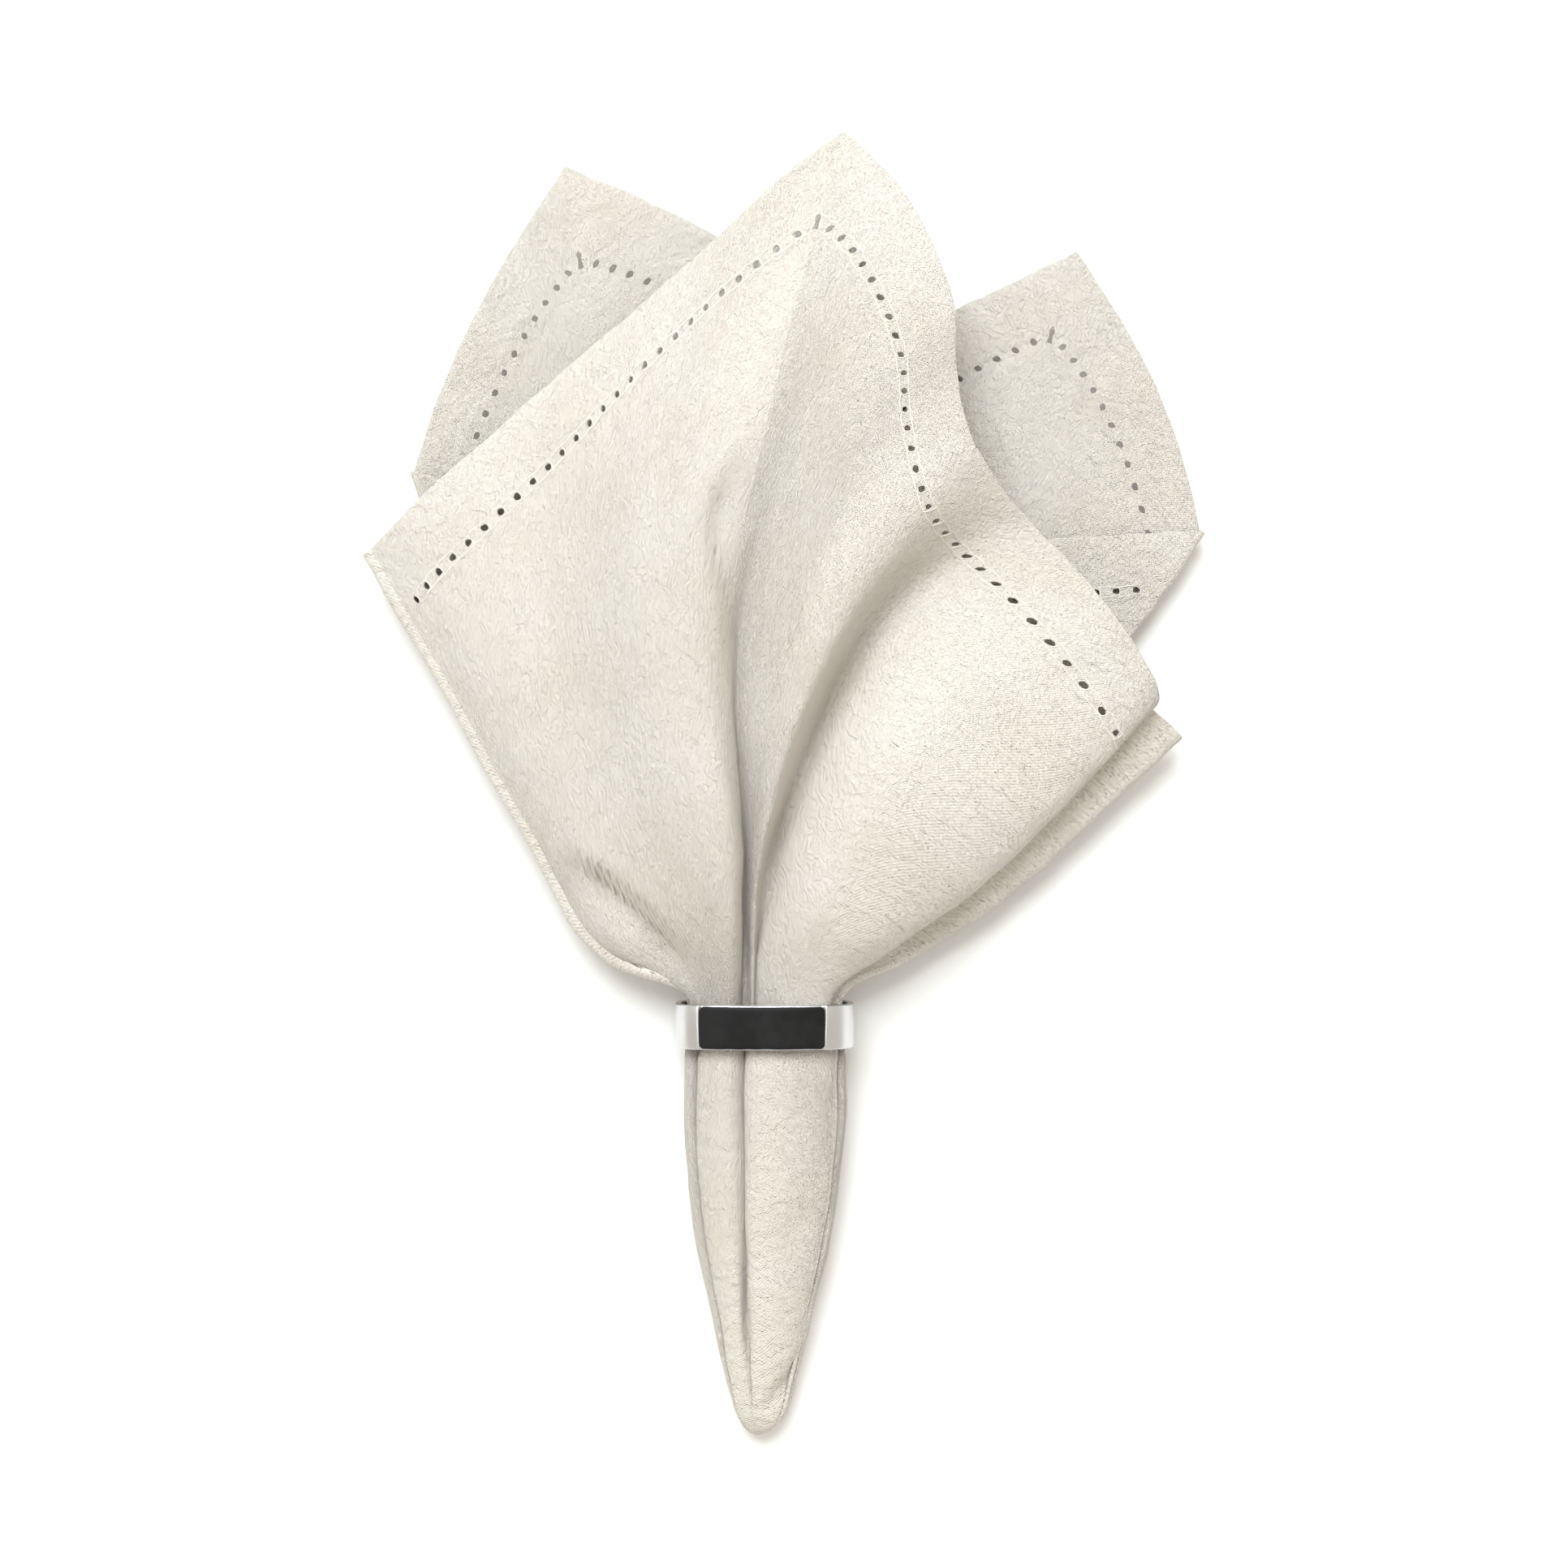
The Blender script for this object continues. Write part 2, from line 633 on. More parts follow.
@dataclass
class Napkin:
    """The whole cloth: one square with hemstitched hems, drawn through the ring."""

    folds: ClothFolds
    place: Vector
    finish: ClothFinish
    covers: tuple[Cover, ...] = (
        Cover.UNDERSIDE, Cover.SHOWN, Cover.SHOWN, Cover.HIDDEN, Cover.UNDERSIDE,
        Cover.HIDDEN, Cover.SHOWN, Cover.UNDERSIDE, Cover.UNDERSIDE, Cover.SHOWN)
    holes_per_side: int = 84
    hole_radius: float = 1.08
    under_hole_half: float = 0.85
    rim_wobble: float = 0.45
    hole_inset: float = 18.5
    fold_clear: float = 3.4
    turn_columns: int = 7
    hem_insets: tuple[float, ...] = (25.5, 22.2, 19.8, 18.5, 17.2, 14.8, 11.2, 7.6, 4, 1.3, 0.35, 0)
    field_half: float = 0.24
    hem_half: float = 0.42
    rim_half: float = 0.2
    front_from: float = 1839.0
    front_to: float = 186.0
    seam_depth: float = 0.2
    seam_width: float = 0.9
    wall_from: int = 0
    settle: float = 0.3
    body_rows: int = 38
    tail_rows: int = 34
    ring_rows: int = 6
    wave_depth: float = 0.35
    under_wave: float = 0.6
    creases: tuple[Crease, ...] = CREASES

    def side_columns(self, panel: list[int], cover: Cover) -> list[tuple[float, int, int]]:
        """Lays out the columns of one panel.

        Args:
            panel: the numbers of the panel's fold lines.
            cover: how finely the panel is divided.

        Returns:
            The edge place, level and hole mark of each column. The mark is 0 at the middle of
            a hole, -1 and 1 beside it, -2 and 2 beside a coarse hole and NO_HOLE elsewhere.
        """
        knots = self.folds.knots(panel)
        pitch = self.folds.side / self.holes_per_side
        first = math.ceil((knots[0] - pitch) / pitch)
        last = math.floor((knots[-1] + pitch) / pitch)
        found = []
        for number in range(first, last + 1):
            middle = number * pitch
            clear = knots[0] - self.folds.turn_half + self.fold_clear < middle
            clear = clear and middle < knots[-1] + self.folds.turn_half - self.fold_clear
            if cover is Cover.SHOWN:
                quarter = pitch / 4
                marks = (-1, 0, 1) if clear else (NO_HOLE,) * 3
                found += [(middle - quarter, 2, marks[0]), (middle, 1, marks[1]),
                          (middle + quarter, 2, marks[2]), (middle + 2 * quarter, 1, NO_HOLE)]
            elif cover is Cover.UNDERSIDE:
                found += [(middle - self.under_hole_half, 1, -2 if clear else NO_HOLE),
                          (middle + self.under_hole_half, 2, 2 if clear else NO_HOLE)]
            else:
                found.append((middle, 1, NO_HOLE))
        return [item for item in found if knots[0] + 0.5 < item[0] < knots[-1] - 0.5]

    def columns(self) -> Columns:
        """Lays out all columns round the cloth."""
        rows = []
        folds = self.folds
        for number, (panel, cover) in enumerate(zip(folds.panels, self.covers)):
            start = panel[0]
            for step in range(self.turn_columns):
                phase = step / (self.turn_columns - 1)
                edge = folds.edge_of(start) + folds.turn_half * (2 * phase - 1)
                rows.append((edge, number, start, phase, step % 2, NO_HOLE, cover.value))
            inner = 0
            for edge, level, hole in self.side_columns(panel, cover):
                inner += level == 1
                if level == 1 and (cover is not Cover.SHOWN or inner % 2):
                    level = 0
                rows.append((edge, number, -1, 0, level, hole, cover.value))
        table = np.array(rows, float).T
        whole = [table[n].astype(int) for n in (1, 2, 4, 5, 6)]
        return Columns(table[0], whole[0], whole[1], table[3], *whole[2:])

    def place_points(self, columns: Columns, edge: np.ndarray, share: np.ndarray) -> np.ndarray:
        """Finds the points of a grid of cloth places.

        Args:
            columns: the columns that the grid uses.
            edge: the edge place of each grid point, rows by columns.
            share: its share of the way from the ring to the edge.

        Returns:
            The points, rows by columns by 3.
        """
        result = np.zeros(edge.shape + (3,))
        for number, panel in enumerate(self.folds.panels):
            on_turn = np.flatnonzero((columns.panel == number) & (columns.turn >= 0))
            on_side = np.flatnonzero((columns.panel == number) & (columns.turn < 0))
            rows = len(edge)
            phase = np.broadcast_to(columns.phase[on_turn], (rows, len(on_turn))).ravel()
            bent = self.folds.turn_point(panel[0], share[:, on_turn].ravel(), phase)
            result[:, on_turn] = bent.reshape(rows, -1, 3)
            if len(on_side):
                flat = self.folds.panel_point(panel, edge[:, on_side].ravel(), share[:, on_side].ravel())
                result[:, on_side] = flat.reshape(rows, -1, 3)
        return result

    def pick(self, columns: Columns, level: int) -> Columns:
        """Returns the columns up to a level."""
        keep = columns.level <= level
        return Columns(*(getattr(columns, name)[keep] for name in columns.__dataclass_fields__))

    def hem_share(self, edge: np.ndarray, inset: np.ndarray) -> np.ndarray:
        """Returns the share of the way from the ring at a distance in from the edge."""
        reach = self.folds.edge_reach(edge)
        start = self.folds.ring_out_reach
        return (reach * (1 - inset / (self.folds.side / 2)) - start) / (reach - start)

    def squared(self, edge: np.ndarray, change: np.ndarray) -> np.ndarray:
        """Returns how far a place by a hole moves along the edge to stay square to it.

        Args:
            edge: the hole's places on the square's edge.
            change: how much further in from the edge the place is than the hole's middle.

        Returns:
            The move along the edge, in millimetres.
        """
        half = self.folds.side / 2
        kept = 1 - self.hole_inset / half
        return (edge % self.folds.side - half) * (kept / (kept - change / half) - 1)

    def tail_grid(self, columns: Columns) -> ClothGrid:
        """Builds the rows of the tail, from near the tip to the ring.

        Args:
            columns: the coarse columns.

        Returns:
            The grid of the tail.
        """
        ring = self.place_points(columns, columns.edge[None], np.full((1, len(columns.edge)), -0.05))[0]
        steps = np.linspace(0, 1, self.tail_rows + 1)[1:-1]
        reaches = self.folds.sections[-1].reach * (0.25 * steps ** 2 + 0.75 * steps)
        points = self.folds.tail_rows(ring, columns.edge, reaches)
        edge = np.broadcast_to(columns.edge, points.shape[:2])
        reach = self.folds.edge_reach(edge)
        spread = reaches[:, None] / reach
        inset = (1 - spread) * self.folds.side / 2
        return ClothGrid(points, edge, spread, inset)

    def body_grid(self, columns: Columns) -> ClothGrid:
        """Builds the rows from inside the ring to the inner side of the hem.

        Args:
            columns: the coarse and middle columns.

        Returns:
            The grid of the body.
        """
        near = np.linspace(-0.05, 0.04, self.ring_rows, endpoint=False)
        shares = np.concatenate([near, np.linspace(0.04, 0.79, self.body_rows)])
        edge = np.broadcast_to(columns.edge, (len(shares), len(columns.edge)))
        share = np.broadcast_to(shares[:, None], edge.shape)
        points = self.place_points(columns, edge, share)
        reach = self.folds.edge_reach(edge)
        start = self.folds.ring_out_reach
        spread = (start + share * (reach - start)) / reach
        return ClothGrid(points, edge, spread, (1 - spread) * self.folds.side / 2)

    def hem_grid(self, columns: Columns) -> ClothGrid:
        """Builds the rows of the hem, with the points round each hole drawn in to its rim.

        Args:
            columns: all columns.

        Returns:
            The grid of the hem.
        """
        insets = np.array(self.hem_insets)
        middle = list(self.hem_insets).index(self.hole_inset)
        edge = np.broadcast_to(columns.edge, (len(insets), len(columns.edge))).copy()
        inset = np.broadcast_to(insets[:, None], edge.shape).copy()
        radius = self.hole_radius
        quarter = self.folds.side / self.holes_per_side / 4
        jitter = np.random.default_rng(7).uniform(0.8, 1.15, (4, len(columns.edge)))
        for row, lift in ((middle - 1, 1), (middle, 0), (middle + 1, -1)):
            for mark in (-1, 0, 1):
                if mark == 0 and lift == 0:
                    continue
                cols = np.flatnonzero(columns.hole == mark)
                reach = radius * (0.72 if mark and lift else 1.0) * jitter[lift + 1, cols]
                slit = np.abs((edge[middle, cols] + 250) % 500 - 250) < 3
                reach = reach * np.where(slit, 1.7 if lift else 0.6, 1)
                edge[row, cols] += mark * (reach - quarter)
                edge[row, cols] += np.where(slit, 0, self.squared(edge[middle, cols], lift * reach))
                inset[row, cols] = self.hole_inset + lift * reach
            for mark in (-2, 2):
                cols = np.flatnonzero(columns.hole == mark)
                if lift:
                    edge[row, cols] -= mark / 2 * 0.35
                    inset[row, cols] = self.hole_inset + lift * radius
        wobble = np.array([noise.noise(Vector((value / 8, 0.7, 2.2))) for value in columns.edge])
        inset += self.rim_wobble * wobble * (1 - smooth_step(inset, 0, 14))
        points = self.place_points(columns, edge, self.hem_share(edge, inset))
        return ClothGrid(points, edge, 1 - inset / (self.folds.side / 2), inset)

    def joined_rows(self, first: np.ndarray, second: np.ndarray, first_at: int,
                    second_at: int) -> list[tuple[int, int, int]]:
        """Joins two rows whose points don't match, one being a finer copy of the other.

        Args:
            first: the edge places of the inner row.
            second: the edge places of the outer row.
            first_at: the number of the inner row's first point.
            second_at: the number of the outer row's first point.

        Returns:
            The triangles between the rows.
        """
        found = []
        a, b = 0, 0
        turn = 4 * self.folds.side
        near = np.append(first, first[0] + turn)
        far = np.append(second, second[0] + turn)
        while a < len(first) or b < len(second):
            at = (first_at + a % len(first), second_at + b % len(second))
            if b == len(second) or (a < len(first) and near[a + 1] <= far[b + 1] + 1e-6):
                found.append((at[0], first_at + (a + 1) % len(first), at[1]))
                a += 1
            else:
                found.append((at[0], second_at + (b + 1) % len(second), at[1]))
                b += 1
        return found

    def mesh_parts(self) -> tuple[np.ndarray, list[tuple[int, ...]], np.ndarray, np.ndarray, np.ndarray]:
        """Builds the middle surface of the cloth.

        Returns:
            The points in millimetres, the faces, each point's place on the flat cloth, its
            distance in from the edge and its place along the edge.
        """
        whole = self.columns()
        order = np.argsort(whole.edge, kind="stable")
        whole = Columns(*(getattr(whole, name)[order] for name in whole.__dataclass_fields__))
        zones = ((self.tail_grid, self.pick(whole, 0)), (self.body_grid, self.pick(whole, 1)),
                 (self.hem_grid, self.pick(whole, 2)))
        tip = self.folds.sections[0]
        points = [np.array([[tip.middle, tip.y, tip.low]])]
        flat = [np.zeros((1, 2))]
        insets = [np.full(1, self.folds.side / 2)]
        edges = [np.zeros(1)]
        faces: list[tuple[int, ...]] = []
        count = 1
        last: tuple[np.ndarray, int] | None = None
        for build, columns in zones:
            grid = build(columns)
            rows, wide = grid.edge.shape
            if last is None:
                faces += [(0, count + (n + 1) % wide, count + n) for n in range(wide)]
            else:
                faces += self.joined_rows(last[0], columns.edge, last[1], count)
            for row in range(rows - 1):
                base = count + row * wide
                for n in range(wide):
                    if self.in_hole(grid, columns, row, n):
                        continue
                    m = (n + 1) % wide
                    faces.append((base + n, base + m, base + wide + m, base + wide + n))
            points.append(grid.points.reshape(-1, 3))
            flat.append(self.folds.flat_place(grid.edge, grid.spread).reshape(-1, 2))
            insets.append(grid.inset.reshape(-1))
            edges.append(grid.edge.reshape(-1) % (4 * self.folds.side))
            last = (columns.edge, count + (rows - 1) * wide)
            count += rows * wide
        return (np.concatenate(points), faces, np.concatenate(flat), np.concatenate(insets),
                np.concatenate(edges))

    def in_hole(self, grid: ClothGrid, columns: Columns, row: int, column: int) -> bool:
        """Tells whether a face of a grid lies inside a hemstitch hole.

        Args:
            grid: the grid of the face.
            columns: the grid's columns.
            row: the row where the face starts.
            column: the column where the face starts.

        Returns:
            True for a face that is left out.
        """
        middle = self.hem_insets.index(self.hole_inset)
        if len(grid.edge) != len(self.hem_insets) or row not in (middle - 1, middle):
            return False
        mark = columns.hole[column]
        following = columns.hole[(column + 1) % len(columns.hole)]
        return mark in (-1, 0, -2) and following == {-1: 0, 0: 1, -2: 2}[mark]

    def half_thickness(self, inset: np.ndarray, edge: np.ndarray) -> np.ndarray:
        """Finds half the cloth's thickness: double in the hem, slim at the rim and its mitres.

        Args:
            inset: distances in from the edge.
            edge: places on the square's edge.

        Returns:
            The half thicknesses, in millimetres.
        """
        fold = smooth_step(inset, 0, 1.2)
        aside = np.abs((edge + self.folds.side / 2) % self.folds.side - self.folds.side / 2)
        seam = self.seam_depth * np.exp(-((aside / self.seam_width) ** 2))
        hem = mixed(self.rim_half, self.hem_half - seam, fold)
        return mixed(hem, self.field_half, smooth_step(inset, self.hole_inset - 1.9, self.hole_inset - 0.9))

    def settled(self, points: np.ndarray) -> np.ndarray:
        """Lowers the bottom layers by the thickness that the thin cloth doesn't have."""
        result = points.copy()
        result[:, 2] -= self.settle * (1 - smooth_step(points[:, 2], 0.6, 9))
        return result

    def point_normals(self, points: np.ndarray, faces: list[tuple[int, ...]]) -> np.ndarray:
        """Finds the outward direction at each point of the middle surface.

        Args:
            points: the surface's points.
            faces: the point numbers of each face.

        Returns:
            One direction of length 1 for each point.
        """
        total = np.zeros_like(points)
        for size in (3, 4):
            group = np.array([face for face in faces if len(face) == size])
            if not len(group):
                continue
            corner = points[group]
            across = np.cross(corner[:, 2] - corner[:, 0], corner[:, -1] - corner[:, 1])
            if size == 3:
                across = np.cross(corner[:, 1] - corner[:, 0], corner[:, 2] - corner[:, 0])
            for column in range(size):
                np.add.at(total, group[:, column], across)
        return total / np.maximum(np.linalg.norm(total, axis=1, keepdims=True), 1e-12)

    def waves(self, flat: np.ndarray) -> np.ndarray:
        """Finds the small uneven waves of the cloth.

        Args:
            flat: each point's place on the flat cloth.

        Returns:
            The waves, between about -1 and 1.
        """
        found = np.empty(len(flat))
        for n, (u, v) in enumerate(flat):
            broad = noise.noise(Vector((u / 14, v / 14, 3.1)))
            fine = noise.noise(Vector((u / 5.5, v / 5.5, 8.7)))
            found[n] = broad + 0.45 * fine
        return found

    def crease_depth(self, points: np.ndarray) -> np.ndarray:
        """Finds how far the hand-placed creases sink the cloth.

        Args:
            points: the points of the middle surface.

        Returns:
            The depth at each point, in millimetres.
        """
        found = np.zeros(len(points))
        for crease in self.creases:
            line = np.array(crease.path)
            near = np.full(len(points), 1e9)
            along = np.zeros(len(points))
            aside = np.zeros(len(points))
            lengths = np.concatenate([[0], np.cumsum(np.linalg.norm(np.diff(line, axis=0), axis=1))])
            for n, (start, end) in enumerate(zip(line[:-1], line[1:])):
                span = end - start
                away = points[:, :2] - start
                share = np.clip(away @ span / (span @ span), 0, 1)
                gap = np.linalg.norm(away - share[:, None] * span, axis=1)
                closer = gap < near
                near = np.where(closer, gap, near)
                along = np.where(closer, lengths[n] + share * (lengths[n + 1] - lengths[n]), along)
                aside = np.where(closer, np.sign(span[0] * away[:, 1] - span[1] * away[:, 0]) * gap, aside)
            run = along / lengths[-1]
            taper = smooth_step(run, -0.02, crease.fade) * (1 - smooth_step(run, 1 - crease.fade, 1.02))
            if crease.reach:
                shape = smooth_step(aside, 0, crease.width) * np.exp(-((aside / crease.reach) ** 2))
            else:
                shape = np.exp(-((near / crease.width) ** 2))
            found += crease.depth * shape * taper
        return found

    def build(self) -> bpy.types.Object:
        """Builds the closed cloth with its hem, holes, waves and creases.

        Returns:
            The cloth, dressed and linked to the scene.
        """
        points, faces, flat, inset, edge = self.mesh_parts()
        points = self.settled(points)
        normals = self.point_normals(points, faces)
        half = self.half_thickness(inset, edge)
        front = (edge > self.front_from) | (edge < self.front_to)
        sink = self.crease_depth(points) * front * smooth_step(normals[:, 2], -0.2, 0.3)
        depth_here = mixed(self.under_wave, self.wave_depth, smooth_step(points[:, 2], 9, 16))
        wave = self.waves(flat) * depth_here * smooth_step(points[:, 2], 0.3, 3)
        points = points + normals * wave[:, None]
        points[:, 2] -= sink
        normals = self.point_normals(points, faces)
        upper = points + normals * half[:, None]
        lower = points - normals * half[:, None]
        count = len(points)
        solid = [tuple(face) for face in faces]
        solid += [tuple(count + n for n in reversed(face)) for face in faces]
        self.wall_from = len(solid)
        solid += self.walls(faces, count)
        places = np.concatenate([upper, lower])
        places[:, 2] = np.maximum(places[:, 2], 0.02)
        places[:, :2] += (self.place.x, self.place.y)
        mesh = bpy.data.meshes.new("napkin_cloth")
        mesh.from_pydata((places * MM).tolist(), [], solid)
        cloth = bpy.data.objects.new("napkin_cloth", mesh)
        bpy.context.collection.objects.link(cloth)
        self.lay_flat(mesh, np.concatenate([flat, flat]))
        mesh.polygons.foreach_set("use_smooth", [True] * len(mesh.polygons))
        self.sharpen_holes(mesh, np.concatenate([inset, inset]))
        mesh.materials.append(cloth_material(self.finish))
        return cloth

    def walls(self, faces: list[tuple[int, ...]], count: int) -> list[tuple[int, ...]]:
        """Closes the open edges between the two sides of the cloth.

        Args:
            faces: the point numbers of each face of one side.
            count: how many points that side has.

        Returns:
            The faces between the two sides.
        """
        edges = {}
        for face in faces:
            for a, b in zip(face, face[1:] + face[:1]):
                edges[(a, b)] = True
        return [(b, a, count + a, count + b) for a, b in edges if (b, a) not in edges]

    def sharpen_holes(self, mesh: bpy.types.Mesh, inset: np.ndarray) -> None:
        """Keeps the shading of the two sides apart round each hole.

        Args:
            mesh: the cloth's mesh.
            inset: each point's distance in from the edge.
        """
        pairs = np.empty(len(mesh.edges) * 2, int)
        mesh.edges.foreach_get("vertices", pairs)
        pairs = pairs.reshape(-1, 2)
        lookup = {}
        for number, pair in enumerate(pairs):
            lookup[tuple(sorted(pair))] = number
        sharp = np.zeros(len(mesh.edges), bool)
        for face in mesh.polygons[self.wall_from:]:
            corners = tuple(face.vertices)
            if inset[corners[0]] < 5:
                continue
            for a, b in (corners[:2], corners[2:]):
                sharp[lookup[tuple(sorted((a, b)))]] = True
        layer = mesh.attributes.new("sharp_edge", "BOOLEAN", "EDGE")
        layer.data.foreach_set("value", sharp)

    def lay_flat(self, mesh: bpy.types.Mesh, flat: np.ndarray) -> None:
        """Stores each point's place on the flat cloth as the mesh's UV."""
        layer = mesh.uv_layers.new(name="flat")
        corners = np.empty(len(mesh.loops), int)
        mesh.loops.foreach_get("vertex_index", corners)
        layer.data.foreach_set("uv", (flat[corners] / self.folds.side + 0.5).ravel())


@dataclass
class NodeTree:
    """A node tree being built, with short ways to add and join nodes."""

    tree: bpy.types.NodeTree

    def add(self, kind: str, **settings: object) -> bpy.types.Node:
        """Returns a new node with some of its own settings given."""
        node = self.tree.nodes.new(kind)
        for name, value in settings.items():
            setattr(node, name, value)
        return node

    def feed(self, node: bpy.types.Node, values: dict[str | int, object]) -> bpy.types.Node:
        """Gives a node its inputs.

        Args:
            node: the node to feed.
            values: a number, a tuple or another node's output socket for each input.

        Returns:
            The same node.
        """
        for name, value in values.items():
            if isinstance(value, bpy.types.NodeSocket):
                self.tree.links.new(value, node.inputs[name])
            else:
                node.inputs[name].default_value = value
        return node

    def math(self, operation: str, *values: object) -> bpy.types.NodeSocket:
        """Returns the result of a Math node on numbers or sockets."""
        node = self.feed(self.add("ShaderNodeMath", operation=operation), dict(enumerate(values)))
        return node.outputs[0]

    def scaled(self, vector: bpy.types.NodeSocket, scale: tuple[float, float, float]) -> bpy.types.NodeSocket:
        """Returns a vector with each part multiplied."""
        node = self.feed(self.add("ShaderNodeVectorMath", operation="MULTIPLY"), {0: vector, 1: scale})
        return node.outputs[0]

    def noise(self, vector: bpy.types.NodeSocket, scale: float, detail: float = 2.0,
              roughness: float = 0.5, distortion: float = 0.0) -> bpy.types.NodeSocket:
        """Returns the value of a noise texture."""
        node = self.feed(self.add("ShaderNodeTexNoise"), {
            "Vector": vector, "Scale": scale, "Detail": detail, "Roughness": roughness,
            "Distortion": distortion})
        return node.outputs[0]

    def blend(self, share: object, low: object, high: object) -> bpy.types.NodeSocket:
        """Mixes two colours.

        Args:
            share: how much of the second colour there is, from 0 to 1.
            low: the first colour, as three numbers or a socket.
            high: the second colour, likewise.

        Returns:
            The mixed colour.
        """
        node = self.add("ShaderNodeMix", data_type="RGBA")
        self.feed(node, {0: share})
        for place, value in ((6, low), (7, high)):
            if isinstance(value, bpy.types.NodeSocket):
                self.tree.links.new(value, node.inputs[place])
            else:
                node.inputs[place].default_value = (*value, 1)
        return node.outputs[2]

    def ranged(self, value: bpy.types.NodeSocket, low: float, high: float, to_low: float = 0.0,
               to_high: float = 1.0) -> bpy.types.NodeSocket:
        """Returns a value moved smoothly from one range to another."""
        node = self.feed(self.add("ShaderNodeMapRange", interpolation_type="SMOOTHSTEP"),
                         {0: value, 1: low, 2: high, 3: to_low, 4: to_high})
        return node.outputs[0]


def new_group(name: str, inputs: dict[str, str],
              outputs: dict[str, str]) -> tuple[bpy.types.NodeTree, NodeTree]:
    """Starts a node group.

    Args:
        name: the group's name.
        inputs: the socket type of each named input.
        outputs: the socket type of each named output.

    Returns:
        The group and its builder.
    """
    group = bpy.data.node_groups.new(name, "ShaderNodeTree")
    for in_out, sockets in (("INPUT", inputs), ("OUTPUT", outputs)):
        for label, kind in sockets.items():
            group.interface.new_socket(label, in_out=in_out, socket_type=kind)
    return group, NodeTree(group)


def crinkle_group() -> bpy.types.NodeTree:
    """Returns the group that makes crinkled cotton's relief and shade, made on first use."""
    if "cotton_crinkle" in bpy.data.node_groups:
        return bpy.data.node_groups["cotton_crinkle"]
    group, kit = new_group(
        "cotton_crinkle",
        {"Place": "NodeSocketVector", "Rib pitch": "NodeSocketFloat", "Rib length": "NodeSocketFloat",
         "Thread pitch": "NodeSocketFloat", "Hem from": "NodeSocketFloat", "Tail to": "NodeSocketFloat"},
        {"Ribs": "NodeSocketFloat", "Crinkle": "NodeSocketFloat", "Puckers": "NodeSocketFloat",
         "Weave": "NodeSocketFloat", "Shade": "NodeSocketFloat"})
    given = kit.add("NodeGroupInput").outputs
    result = kit.add("NodeGroupOutput")
    drift = kit.add("ShaderNodeTexNoise")
    kit.feed(drift, {"Vector": given["Place"], "Scale": 0.16, "Detail": 3.0})
    pushed = kit.add("ShaderNodeVectorMath", operation="MULTIPLY_ADD")
    kit.feed(pushed, {0: drift.outputs["Color"], 1: (3.6, 3.6, 0.0), 2: given["Place"]})
    folded = kit.add("ShaderNodeVectorMath", operation="ABSOLUTE")
    kit.feed(folded, {0: pushed.outputs[0]})
    parts = kit.add("ShaderNodeSeparateXYZ")
    kit.feed(parts, {0: folded.outputs[0]})
    along = kit.math("DIVIDE", kit.math("ADD", parts.outputs[0], parts.outputs[1]), given["Rib length"])
    across = kit.math("DIVIDE", kit.math("SUBTRACT", parts.outputs[0], parts.outputs[1]), given["Rib pitch"])
    ribbed = kit.add("ShaderNodeCombineXYZ")
    kit.feed(ribbed, {0: across, 1: along})
    ribs = kit.noise(ribbed.outputs[0], 1.0, 3.0, 0.55, 0.2)
    outward = kit.math("MAXIMUM", parts.outputs[0], parts.outputs[1])
    beside = kit.math("MINIMUM", parts.outputs[0], parts.outputs[1])
    slanted = kit.add("ShaderNodeCombineXYZ")
    kit.feed(slanted, {0: kit.math("MULTIPLY_ADD", outward, 0.7, beside),
                       1: kit.math("MULTIPLY", outward, 0.35)})
    in_hem = kit.ranged(outward, kit.math("SUBTRACT", given["Hem from"], 3.0), given["Hem from"])
    in_tail = kit.ranged(outward, given["Tail to"], kit.math("MULTIPLY", given["Tail to"], 0.8))
    puckers = kit.math("MULTIPLY", kit.noise(slanted.outputs[0], 0.32, 2.0, 0.5, 0.4),
                       kit.math("MULTIPLY_ADD", in_tail, 0.3, kit.math("MULTIPLY_ADD", in_hem, 0.6, 0.12)))
    fine = kit.noise(given["Place"], 2.6, 3.0, 0.6, 0.1)
    broad = kit.noise(given["Place"], 0.32, 2.0, 0.5, 0.2)
    crinkle = kit.math("MULTIPLY_ADD", broad, 2.4, fine)
    threads = kit.add("ShaderNodeVectorMath", operation="SCALE")
    kit.feed(threads, {0: given["Place"], "Scale": kit.math("DIVIDE", 0.31, given["Thread pitch"])})
    crossed = []
    for direction in ("X", "Y"):
        wave = kit.add("ShaderNodeTexWave", bands_direction=direction, wave_profile="SIN")
        kit.feed(wave, {"Vector": threads.outputs[0], "Scale": 1.0, "Distortion": 1.5, "Detail": 1.0})
        crossed.append(wave.outputs["Fac"])
    weave = kit.math("ADD", *crossed)
    clouds = kit.noise(given["Place"], 0.03, 2.0)
    shade = kit.math("MULTIPLY_ADD", kit.math("SUBTRACT", fine, 0.5), 0.7, clouds)
    kit.feed(result, {"Ribs": ribs, "Crinkle": crinkle, "Puckers": puckers, "Weave": weave, "Shade": shade})
    return group


